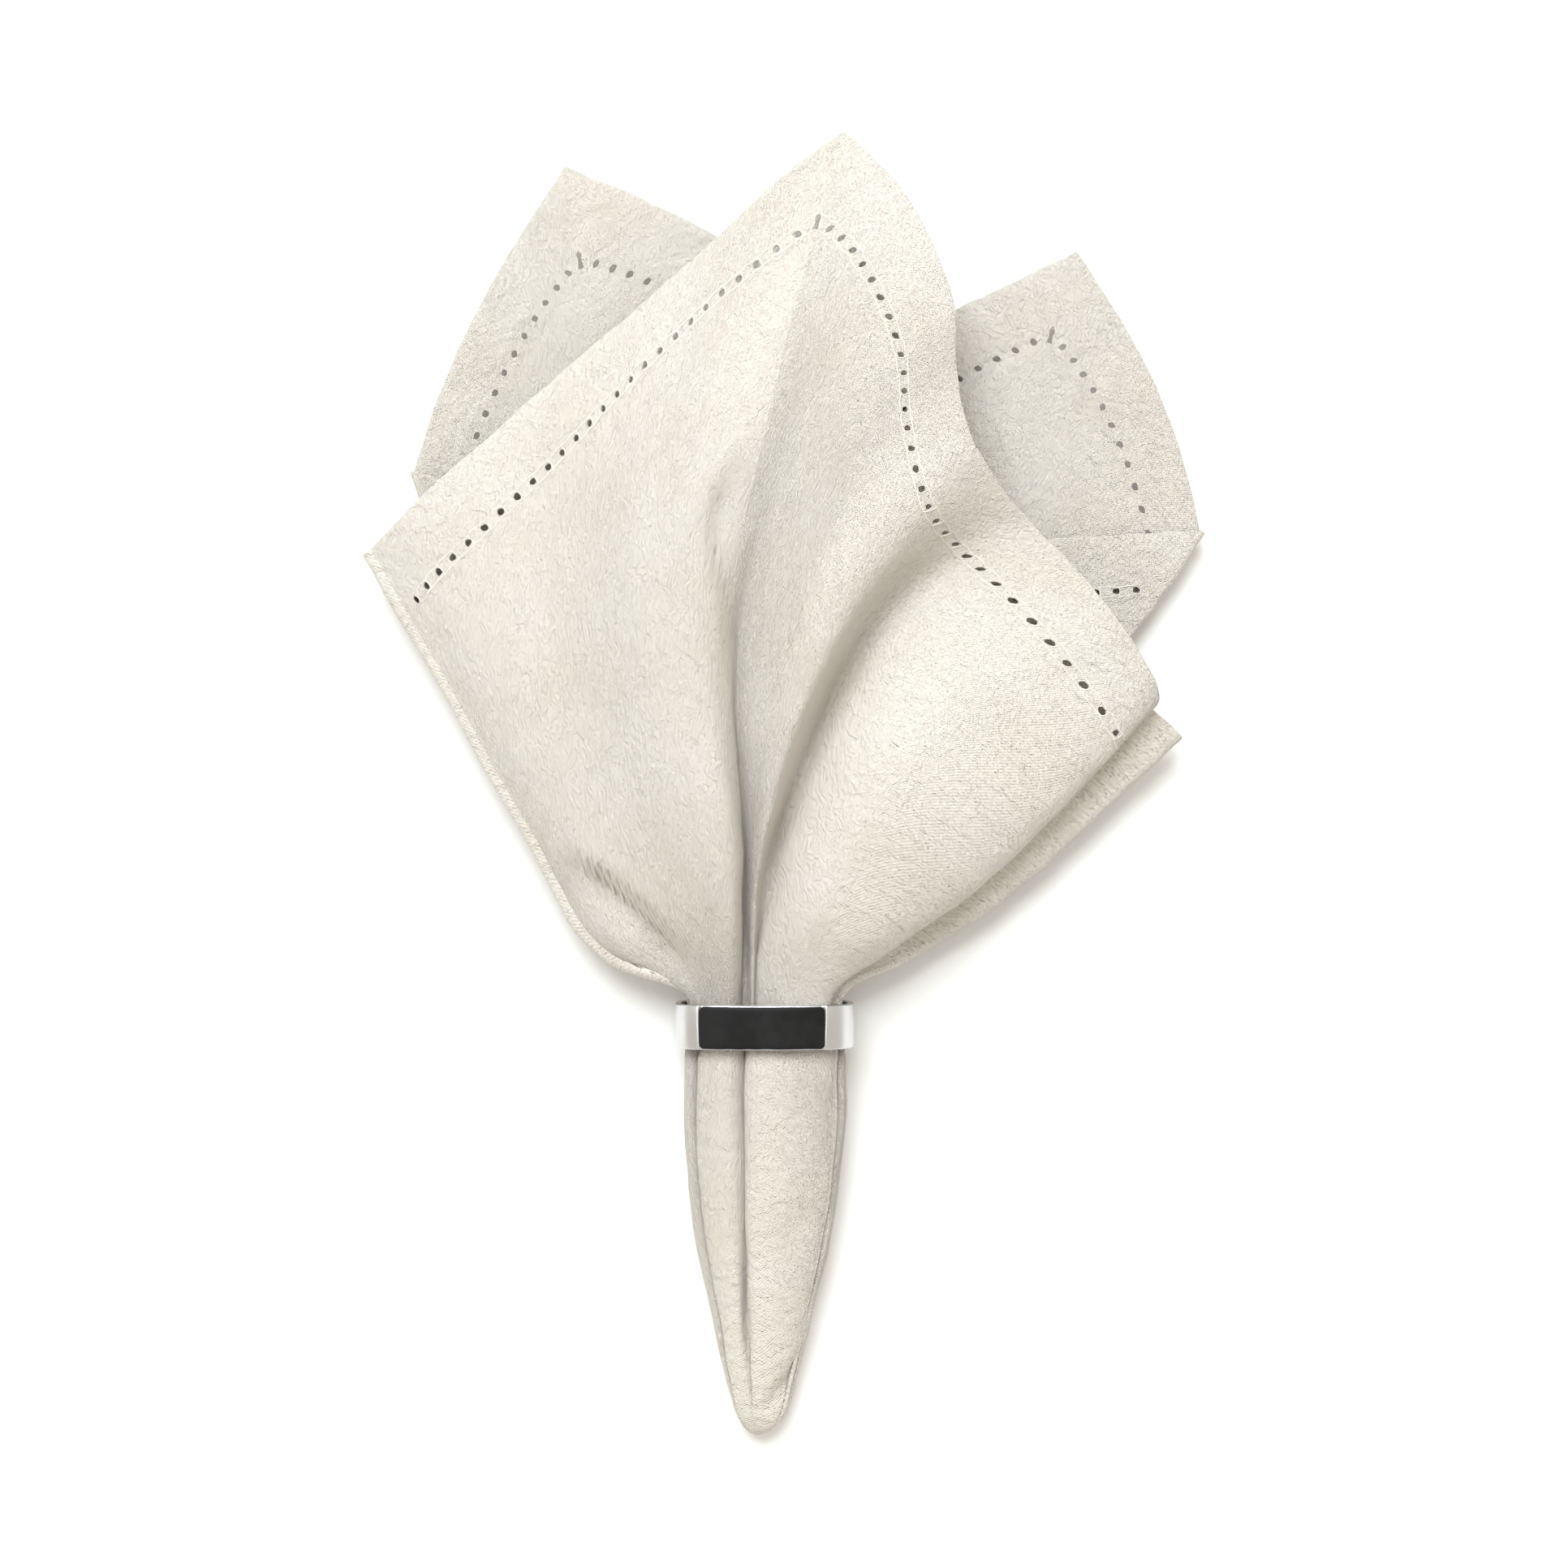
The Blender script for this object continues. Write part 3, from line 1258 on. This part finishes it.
def wear_group() -> bpy.types.NodeTree:
    """Returns the group that makes fine rubbed marks on hard parts, made on first use."""
    if "fine_wear" in bpy.data.node_groups:
        return bpy.data.node_groups["fine_wear"]
    group, kit = new_group(
        "fine_wear",
        {"Place": "NodeSocketVector", "Stretch": "NodeSocketVector", "Amount": "NodeSocketFloat"},
        {"Lines": "NodeSocketFloat", "Rubbed": "NodeSocketFloat"})
    given = kit.add("NodeGroupInput").outputs
    result = kit.add("NodeGroupOutput")
    drawn = kit.add("ShaderNodeVectorMath", operation="MULTIPLY")
    kit.feed(drawn, {0: given["Place"], 1: given["Stretch"]})
    lines = kit.noise(drawn.outputs[0], 1.0, 4.0, 0.65)
    cloudy = kit.noise(given["Place"], 160.0, 3.0)
    rubbed = kit.math("MULTIPLY", kit.ranged(cloudy, 0.35, 0.7), given["Amount"])
    kit.feed(result, {"Lines": lines, "Rubbed": rubbed})
    return group


def new_material(name: str) -> tuple[bpy.types.Material, NodeTree, bpy.types.Node]:
    """Returns a new material, the builder of its nodes and its main shader node."""
    material = bpy.data.materials.new(name)
    material.use_nodes = True
    return material, NodeTree(material.node_tree), material.node_tree.nodes["Principled BSDF"]


def cloth_material(finish: ClothFinish) -> bpy.types.Material:
    """Builds the crinkled cotton, which is laid out on the flat cloth.

    Args:
        finish: its colours and feel.

    Returns:
        The material.
    """
    material, kit, shader = new_material(finish.name)
    flat = kit.add("ShaderNodeUVMap", uv_map="flat").outputs[0]
    centred = kit.feed(kit.add("ShaderNodeVectorMath", operation="SUBTRACT"), {0: flat, 1: (0.5, 0.5, 0.0)})
    place = kit.scaled(centred.outputs[0], (500.0, 500.0, 0.0))
    cotton = kit.add("ShaderNodeGroup", node_tree=crinkle_group())
    kit.feed(cotton, {"Place": place, "Rib pitch": 1.0, "Rib length": 3.2, "Thread pitch": 0.42,
                      "Hem from": 232.0, "Tail to": 85.0})
    share = kit.ranged(cotton.outputs["Shade"], 0.25, 0.75)
    colour = kit.blend(share, finish.dark, finish.light)
    bump = None
    for output, depth in (("Weave", finish.weave_depth), ("Puckers", finish.pucker_depth),
                          ("Crinkle", finish.crinkle_depth), ("Ribs", finish.rib_depth)):
        node = kit.feed(kit.add("ShaderNodeBump"), {
            "Strength": 1.0, "Distance": depth * MM, "Height": cotton.outputs[output]})
        if bump:
            kit.feed(node, {"Normal": bump.outputs[0]})
        bump = node
    kit.feed(shader, {
        "Base Color": colour, "Roughness": finish.roughness, "Sheen Weight": finish.sheen,
        "Sheen Roughness": 0.5, "Specular IOR Level": 0.15, "Normal": bump.outputs[0]})
    return material


def thread_material(finish: ThreadFinish) -> bpy.types.Material:
    """Builds the pale stitching thread.

    Args:
        finish: its colours and feel.

    Returns:
        The material.
    """
    material, kit, shader = new_material(finish.name)
    object_place = kit.add("ShaderNodeTexCoord").outputs["Object"]
    place = kit.scaled(object_place, (1000.0, 1000.0, 1000.0))
    cotton = kit.add("ShaderNodeGroup", node_tree=crinkle_group())
    kit.feed(cotton, {"Place": place, "Rib pitch": 0.4, "Rib length": 0.8, "Thread pitch": 0.2,
                      "Hem from": 1e6, "Tail to": 0.0})
    low = tuple(0.93 * part for part in finish.colour)
    colour = kit.blend(kit.ranged(cotton.outputs["Shade"], 0.3, 0.7), low, finish.colour)
    bump = kit.feed(kit.add("ShaderNodeBump"), {
        "Strength": 0.6, "Distance": 0.04 * MM, "Height": cotton.outputs["Ribs"]})
    kit.feed(shader, {"Base Color": colour, "Roughness": finish.roughness, "Sheen Weight": 0.2,
                      "Specular IOR Level": 0.2, "Normal": bump.outputs[0]})
    return material


def steel_material(finish: MetalFinish) -> bpy.types.Material:
    """Builds the brushed steel, brushed along the band.

    Args:
        finish: its colours and feel.

    Returns:
        The material.
    """
    material, kit, shader = new_material(finish.name)
    place = kit.add("ShaderNodeTexCoord").outputs["Object"]
    wear = kit.add("ShaderNodeGroup", node_tree=wear_group())
    kit.feed(wear, {"Place": place, "Stretch": (60.0, 9000.0, 60.0), "Amount": 1.0})
    rough = kit.math("MULTIPLY_ADD", wear.outputs["Lines"], 0.16, finish.roughness - 0.06)
    rough = kit.math("MULTIPLY_ADD", wear.outputs["Rubbed"], 0.08, rough)
    bump = kit.feed(kit.add("ShaderNodeBump"), {
        "Strength": 0.25, "Distance": 0.00002, "Height": wear.outputs["Lines"]})
    kit.feed(shader, {
        "Base Color": (*finish.colour, 1), "Metallic": 1.0, "Roughness": rough,
        "Anisotropic": finish.anisotropy, "Normal": bump.outputs[0]})
    return material


def inlay_material(finish: InlayFinish) -> bpy.types.Material:
    """Builds the black satin inlay.

    Args:
        finish: its colours and feel.

    Returns:
        The material.
    """
    material, kit, shader = new_material(finish.name)
    place = kit.add("ShaderNodeTexCoord").outputs["Object"]
    wear = kit.add("ShaderNodeGroup", node_tree=wear_group())
    kit.feed(wear, {"Place": place, "Stretch": (2500.0, 2500.0, 2500.0), "Amount": 1.0})
    rough = kit.math("MULTIPLY_ADD", wear.outputs["Lines"], 0.1, finish.roughness - 0.05)
    rough = kit.math("MULTIPLY_ADD", wear.outputs["Rubbed"], 0.06, rough)
    bright = tuple(1.7 * part for part in finish.colour)
    colour = kit.blend(wear.outputs["Rubbed"], finish.colour, bright)
    bump = kit.feed(kit.add("ShaderNodeBump"), {
        "Strength": 0.3, "Distance": 0.00003, "Height": wear.outputs["Lines"]})
    kit.feed(shader, {
        "Base Color": colour, "Roughness": rough, "Specular IOR Level": 0.17,
        "Normal": bump.outputs[0]})
    return material


def table_material(finish: TableFinish) -> bpy.types.Material:
    """Builds the plain pale table.

    Args:
        finish: its colours and feel.

    Returns:
        The material.
    """
    material, kit, shader = new_material(finish.name)
    kit.feed(shader, {"Base Color": (*finish.colour, 1), "Roughness": finish.roughness,
                      "Specular IOR Level": 0.1})
    return material


@dataclass
class Stitching:
    """The hemstitching: two fine threads along the holes and a small loop at each hole."""

    napkin: Napkin
    finish: ThreadFinish
    radius: float = 0.11
    line_insets: tuple[float, float] = (20.25, 16.8)
    sides: int = 5
    lift: float = 0.07
    unevenness: float = 0.22

    def on_cloth(self, tree: BVHTree, edge: np.ndarray, inset: np.ndarray) -> list[tuple[Vector, Vector]]:
        """Finds places on the finished cloth.

        Args:
            tree: the finished cloth's outer side.
            edge: places on the square's edge.
            inset: distances in from the edge.

        Returns:
            Each place's point and the direction out of the cloth, in millimetres.
        """
        folds = self.napkin.folds
        share = self.napkin.hem_share(edge, inset)
        found = []
        for panel in folds.panels:
            knots = folds.knots(panel)
            if not knots[0] < edge[len(edge) // 2] < knots[-1]:
                continue
            points = self.napkin.settled(folds.panel_point(panel, edge, share))
            points[:, :2] += (self.napkin.place.x, self.napkin.place.y)
            for point in points:
                at, normal, _, _ = tree.find_nearest(Vector(point))
                found.append((at + normal * self.lift, normal))
        return found

    def tube(self, places: list[tuple[Vector, Vector]],
             start: int) -> tuple[list[Vector], list[tuple[int, ...]]]:
        """Builds a thread along a run of places.

        Args:
            places: the points and outward directions along the thread.
            start: the number of the thread's first point.

        Returns:
            The points and faces of the thread.
        """
        points, faces = [], []
        for n, (at, normal) in enumerate(places):
            ahead = places[min(n + 1, len(places) - 1)][0] - places[max(n - 1, 0)][0]
            aside = ahead.cross(normal).normalized()
            up = aside.cross(ahead).normalized()
            slim = 0.35 if n in (0, len(places) - 1) else 1
            for side in range(self.sides):
                angle = 2 * math.pi * side / self.sides
                points.append(at + (aside * math.cos(angle) + up * math.sin(angle)) * self.radius * slim)
            if n:
                here, last = start + n * self.sides, start + (n - 1) * self.sides
                faces += [(last + k, last + (k + 1) % self.sides, here + (k + 1) % self.sides, here + k)
                          for k in range(self.sides)]
        end = start + (len(places) - 1) * self.sides
        faces.append(tuple(start + k for k in reversed(range(self.sides))))
        faces.append(tuple(end + k for k in range(self.sides)))
        return points, faces

    def runs(self) -> list[tuple[np.ndarray, np.ndarray]]:
        """Lays out the threads: first the long ones of a panel, then the loop at each hole.

        Returns:
            Each thread's places on the square's edge and its distances in from the edge.
        """
        napkin = self.napkin
        pitch = napkin.folds.side / napkin.holes_per_side
        chance = np.random.default_rng(21)
        found = []
        for panel, cover in zip(napkin.folds.panels, napkin.covers):
            if cover is not Cover.SHOWN:
                continue
            knots = napkin.folds.knots(panel)
            first = math.ceil((knots[0] + 2.5) / pitch)
            last = math.floor((knots[-1] - 2.5) / pitch)
            for inset in self.line_insets:
                steps = np.arange(first * 3, last * 3 + 1)
                edge = steps * pitch / 3
                pull = np.where(steps % 3 == 0, 0.25 * np.sign(napkin.hole_inset - inset), 0)
                found.append((edge, inset + pull + chance.uniform(-1, 1, len(edge)) * self.unevenness))
            for hole in range(first, last + 1):
                turned = np.linspace(-1.2, 1.2, 6)
                size = chance.uniform(0.8, 1.25)
                beside = -1.75 * size * np.sin(turned) / 0.93
                middle = np.full(len(turned), hole * pitch)
                move = napkin.squared(middle, beside) if hole * pitch % napkin.folds.side > 1 else 0
                found.append((middle + move + size * (0.35 + 0.75 * np.cos(turned)),
                              napkin.hole_inset + beside))
        return found

    def build(self, cloth: bpy.types.Object) -> bpy.types.Object:
        """Builds all threads as one piece lying on the cloth.

        Args:
            cloth: the finished cloth.

        Returns:
            The stitching, linked to the scene.
        """
        count = len(cloth.data.vertices) // 2
        places = np.empty(len(cloth.data.vertices) * 3)
        cloth.data.vertices.foreach_get("co", places)
        outer = [tuple(face.vertices) for face in cloth.data.polygons if max(face.vertices) < count]
        tree = BVHTree.FromPolygons([Vector(p) for p in places.reshape(-1, 3)[:count] / MM], outer)
        points: list[Vector] = []
        faces: list[tuple[int, ...]] = []
        for edge, inset in self.runs():
            more, their_faces = self.tube(self.on_cloth(tree, edge, inset), len(points))
            points += more
            faces += their_faces
        return add_object("napkin_stitching", np.array(points), faces, thread_material(self.finish))


@dataclass(frozen=True)
class RingPath:
    """The boxy oval of the ring seen from the front, in millimetres from its middle."""

    half_width: float = 22.8
    half_height: float = 14.5
    power: float = 2.8

    def at_places(self, xs: np.ndarray) -> tuple[np.ndarray, np.ndarray]:
        """Finds the upper side of the oval.

        Args:
            xs: places across the ring.

        Returns:
            The points and the outward directions there, both as x and z.
        """
        share = np.clip(np.abs(xs) / self.half_width, 0, 1)
        zs = self.half_height * (1 - share ** self.power) ** (1 / self.power)
        return np.stack([xs, zs], axis=1), self.outward(xs, zs)

    def outward(self, xs: np.ndarray, zs: np.ndarray) -> np.ndarray:
        """Returns the outward directions at points of the oval."""
        lean = np.stack([
            np.sign(xs) * np.abs(xs / self.half_width) ** (self.power - 1) / self.half_width,
            np.sign(zs) * np.abs(zs / self.half_height) ** (self.power - 1) / self.half_height], axis=1)
        return lean / np.linalg.norm(lean, axis=1, keepdims=True)

    def around(self, count: int) -> tuple[np.ndarray, np.ndarray]:
        """Finds evenly spaced points round the oval.

        Args:
            count: how many points there are.

        Returns:
            The points and the outward directions there, both as x and z.
        """
        angle = np.linspace(0, 2 * math.pi, 6001)
        loop = np.stack([self.half_width * boxy(np.cos(angle), self.power),
                         self.half_height * boxy(np.sin(angle), self.power)], axis=1)
        run = np.concatenate([[0], np.cumsum(np.linalg.norm(np.diff(loop, axis=0), axis=1))])
        where = np.linspace(0, run[-1], count, endpoint=False)
        points = np.stack([np.interp(where, run, loop[:, n]) for n in (0, 1)], axis=1)
        return points, self.outward(points[:, 0], points[:, 1])


def add_object(name: str, points: np.ndarray, faces: list[tuple[int, ...]],
               material: bpy.types.Material) -> bpy.types.Object:
    """Makes a smooth mesh object.

    Args:
        name: the object's name.
        points: its points in millimetres.
        faces: the point numbers of each face.
        material: what it is made of.

    Returns:
        The object, linked to the scene.
    """
    mesh = bpy.data.meshes.new(name)
    mesh.from_pydata((points * MM).tolist(), [], faces)
    mesh.polygons.foreach_set("use_smooth", [True] * len(mesh.polygons))
    mesh.materials.append(material)
    piece = bpy.data.objects.new(name, mesh)
    bpy.context.collection.objects.link(piece)
    return piece


def loop_faces(rows: int, wide: int, closed: bool) -> list[tuple[int, ...]]:
    """Lays out the faces between rows of points that each close on themselves.

    Args:
        rows: how many rows there are.
        wide: how many points a row has.
        closed: whether the last row meets the first.

    Returns:
        The point numbers of each face.
    """
    found = []
    for row in range(rows if closed else rows - 1):
        here, there = row * wide, (row + 1) % rows * wide
        found += [(here + n, here + (n + 1) % wide, there + (n + 1) % wide, there + n)
                  for n in range(wide)]
    return found


def rounded_section(half_depth: float, low: float, high: float, radius: float,
                    steps: int, fill: int) -> np.ndarray:
    """Builds a rounded rectangle as points of depth and height.

    Args:
        half_depth: half its size along y.
        low: its lowest height.
        high: its greatest height.
        radius: the rounding of its corners.
        steps: points on each corner.
        fill: points along each long side between the corners.

    Returns:
        The points in order round the section.
    """
    corners = ((half_depth - radius, high - radius, 0), (-half_depth + radius, high - radius, 90),
               (-half_depth + radius, low + radius, 180), (half_depth - radius, low + radius, 270))
    found = []
    for number, (y, z, start) in enumerate(corners):
        turned = np.radians(np.linspace(start, start + 90, steps))
        found += list(zip(y + radius * np.cos(turned), z + radius * np.sin(turned)))
        if number in (0, 2):
            side = 1 if number == 0 else -1
            level = high if number == 0 else low
            inner = np.linspace(side * (half_depth - radius), -side * (half_depth - radius), fill + 2)[1:-1]
            found += [(value, level) for value in inner]
    return np.array(found)


@dataclass
class RingBand:
    """The flat metal band of the ring, with a step down on top for the inlay."""

    centre: tuple[float, float, float]
    place: Vector
    finish: MetalFinish
    path: RingPath = RingPath()
    depth: float = 11.1
    wall: float = 1.8
    edge_round: float = 0.35
    crown: float = 0.12
    step_depth: float = 1.0
    step_half: float = 16.0
    step_shift: float = -0.5
    step_run: float = 0.25
    rows: int = 360

    def build(self) -> bpy.types.Object:
        """Builds the band by carrying its rounded section round the oval.

        Returns:
            The band, linked to the scene.
        """
        points, outward = self.path.around(self.rows)
        from_middle = np.abs(points[:, 0] - self.step_shift)
        beyond = smooth_step(from_middle, self.step_half - self.step_run, self.step_half)
        sunk = np.where(points[:, 1] > 0, (1 - beyond) * self.step_depth, 0)
        section = rounded_section(self.depth / 2, -self.wall, 0, self.edge_round, 5, 7)
        bulge = self.crown * (1 - (section[:, 0] / (self.depth / 2)) ** 2)
        lift = section[:, 1] + np.where(section[:, 1] > -self.wall / 2, bulge - self.crown, 0)
        share = np.clip((section[:, 1] + self.wall) / self.wall, 0, 1)
        off = lift[None, :] - sunk[:, None] * share[None, :]
        rows = np.empty((self.rows, len(section), 3))
        rows[:, :, 0] = points[:, None, 0] + outward[:, None, 0] * off + self.centre[0]
        rows[:, :, 1] = section[None, :, 0] + self.centre[1]
        rows[:, :, 2] = points[:, None, 1] + outward[:, None, 1] * off + self.centre[2]
        rows[:, :, :2] += (self.place.x, self.place.y)
        faces = [tuple(reversed(face)) for face in loop_faces(self.rows, len(section), True)]
        return add_object("ring_band_steel", rows.reshape(-1, 3), faces, steel_material(self.finish))


@dataclass
class RingInlay:
    """The thin black strip on top of the band, with rounded corners and uneven long edges."""

    centre: tuple[float, float, float]
    place: Vector
    finish: InlayFinish
    path: RingPath = RingPath()
    width: float = 31.4
    depth: float = 10.5
    shift: float = -0.5
    top: float = 0.0
    bottom: float = -0.96
    edge_round: float = 0.22
    corner_round: float = 1.1
    unevenness: float = 0.09
    rows: int = 150

    def build(self) -> bpy.types.Object:
        """Builds the strip as sections carried over the top of the band.

        Returns:
            The inlay, linked to the scene.
        """
        turned = np.linspace(-1, 1, self.rows)
        xs = self.width / 2 * np.sin(turned * math.pi / 2) + self.shift
        points, outward = self.path.at_places(xs)
        from_end = self.width / 2 - np.abs(xs - self.shift)
        cut = np.clip(1 - from_end / self.corner_round, 0, 1)
        half = self.depth / 2 - self.corner_round * (1 - np.sqrt(1 - cut ** 2)) * 0.999
        section = rounded_section(1.0, self.bottom, self.top, self.edge_round, 5, 9)
        rows = np.empty((self.rows, len(section), 3))
        for n, x in enumerate(xs):
            wave = [self.unevenness * noise.noise(Vector((x * 0.35, side * 9.0, 0.4))) for side in (-1, 1)]
            y = section[:, 0] * half[n]
            y = np.sign(section[:, 0]) * np.minimum(np.abs(y), half[n])
            y += np.where(section[:, 0] < 0, wave[0], wave[1])
            rows[n, :, 0] = points[n, 0] + outward[n, 0] * section[:, 1] + self.centre[0]
            rows[n, :, 1] = y + self.centre[1]
            rows[n, :, 2] = points[n, 1] + outward[n, 1] * section[:, 1] + self.centre[2]
        rows[:, :, :2] += (self.place.x, self.place.y)
        wide = len(section)
        faces = loop_faces(self.rows, wide, False)
        faces.append(tuple(reversed(range(wide))))
        faces.append(tuple((self.rows - 1) * wide + n for n in range(wide)))
        faces = [tuple(reversed(face)) for face in faces]
        return add_object("ring_inlay_black", rows.reshape(-1, 3), faces, inlay_material(self.finish))


@dataclass
class Studio:
    """The table, the lights and the camera."""

    place: Vector
    finish: TableFinish
    height: float = 0.8
    lens: float = 70.985
    table_half: float = 4.0
    key_power: float = 25.0
    key_size: float = 1.0
    key_from: tuple[float, float, float] = (-0.22, 0.8, 1.25)
    fill_strength: float = 0.77

    def table(self) -> None:
        """Builds the table top, rounded at its rim and marked as stage."""
        turned = np.linspace(0, 2 * math.pi, 96, endpoint=False)
        size = self.table_half / MM
        rows = []
        for radius, z in ((0.3, 0), (0.9, 0), (0.99, 0), (1.0, -20), (1.0, -60)):
            rows.append(np.stack([size * radius * np.cos(turned), size * radius * np.sin(turned),
                                  np.full_like(turned, z)], axis=1))
        faces = loop_faces(len(rows), 96, False) + [tuple(reversed(range(96)))]
        faces = [tuple(reversed(face)) for face in faces]
        top = add_object("table_top", np.concatenate(rows), faces, table_material(self.finish))

    def lights(self) -> None:
        """Places one large soft light above left and an even pale surround."""
        lamp = bpy.data.lights.new("key", "AREA")
        lamp.shape = "DISK"
        lamp.size = self.key_size
        lamp.energy = self.key_power
        lamp.color = (0.915, 0.96, 1.0)
        key = bpy.data.objects.new("key", lamp)
        key.location = self.key_from
        key.rotation_euler = (-Vector(self.key_from)).to_track_quat("-Z", "Y").to_euler()
        bpy.context.collection.objects.link(key)
        world = bpy.data.worlds.new("surround")
        world.use_nodes = True
        glow = world.node_tree.nodes["Background"]
        glow.inputs["Color"].default_value = (1.0, 0.955, 0.86, 1)
        glow.inputs["Strength"].default_value = self.fill_strength
        bpy.context.scene.world = world
        bpy.context.scene.view_settings.view_transform = "Standard"

    def camera(self) -> None:
        """Places the camera straight above, as in the photograph."""
        lens = bpy.data.cameras.new("camera")
        lens.lens = self.lens
        lens.sensor_width = 36
        lens.clip_start = 0.01
        eye = bpy.data.objects.new("camera", lens)
        eye.location = (self.place.x * MM, self.place.y * MM, self.height)
        bpy.context.collection.objects.link(eye)
        bpy.context.scene.camera = eye

    def build(self) -> None:
        """Builds the table, the lights and the camera."""
        self.camera()
        self.lights()
        self.table()


def design_place() -> Vector:
    """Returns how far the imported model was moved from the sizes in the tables, in millimetres."""
    low, high = (Vector(corner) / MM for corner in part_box("ring_band"))
    middle = (low + high) / 2
    return Vector((middle.x - RING_CENTRE[0], middle.y - RING_CENTRE[1], 0))


def main() -> None:
    """Builds the napkin, its ring and the studio."""
    logging.basicConfig(level=logging.INFO, format="%(message)s")
    place = design_place()
    Studio(place, TableFinish()).build()
    cloth = Napkin(ClothFolds(), place, ClothFinish())
    napkin = cloth.build()
    stitching = Stitching(cloth, ThreadFinish()).build(napkin)
    band = RingBand(RING_CENTRE, place, MetalFinish()).build()
    inlay = RingInlay(RING_CENTRE, place, InlayFinish()).build()
    for piece, node, slot in ((napkin, "napkin", "cloth"), (stitching, "napkin", "cloth"),
                              (band, "ring_band", "band"), (inlay, "ring_inlay", "inlay")):
        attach(piece, "root")
        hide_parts(node)
        LOG.info("%s: %d faces", piece.name, len(piece.data.polygons))


if __name__ == "__main__":
    main()
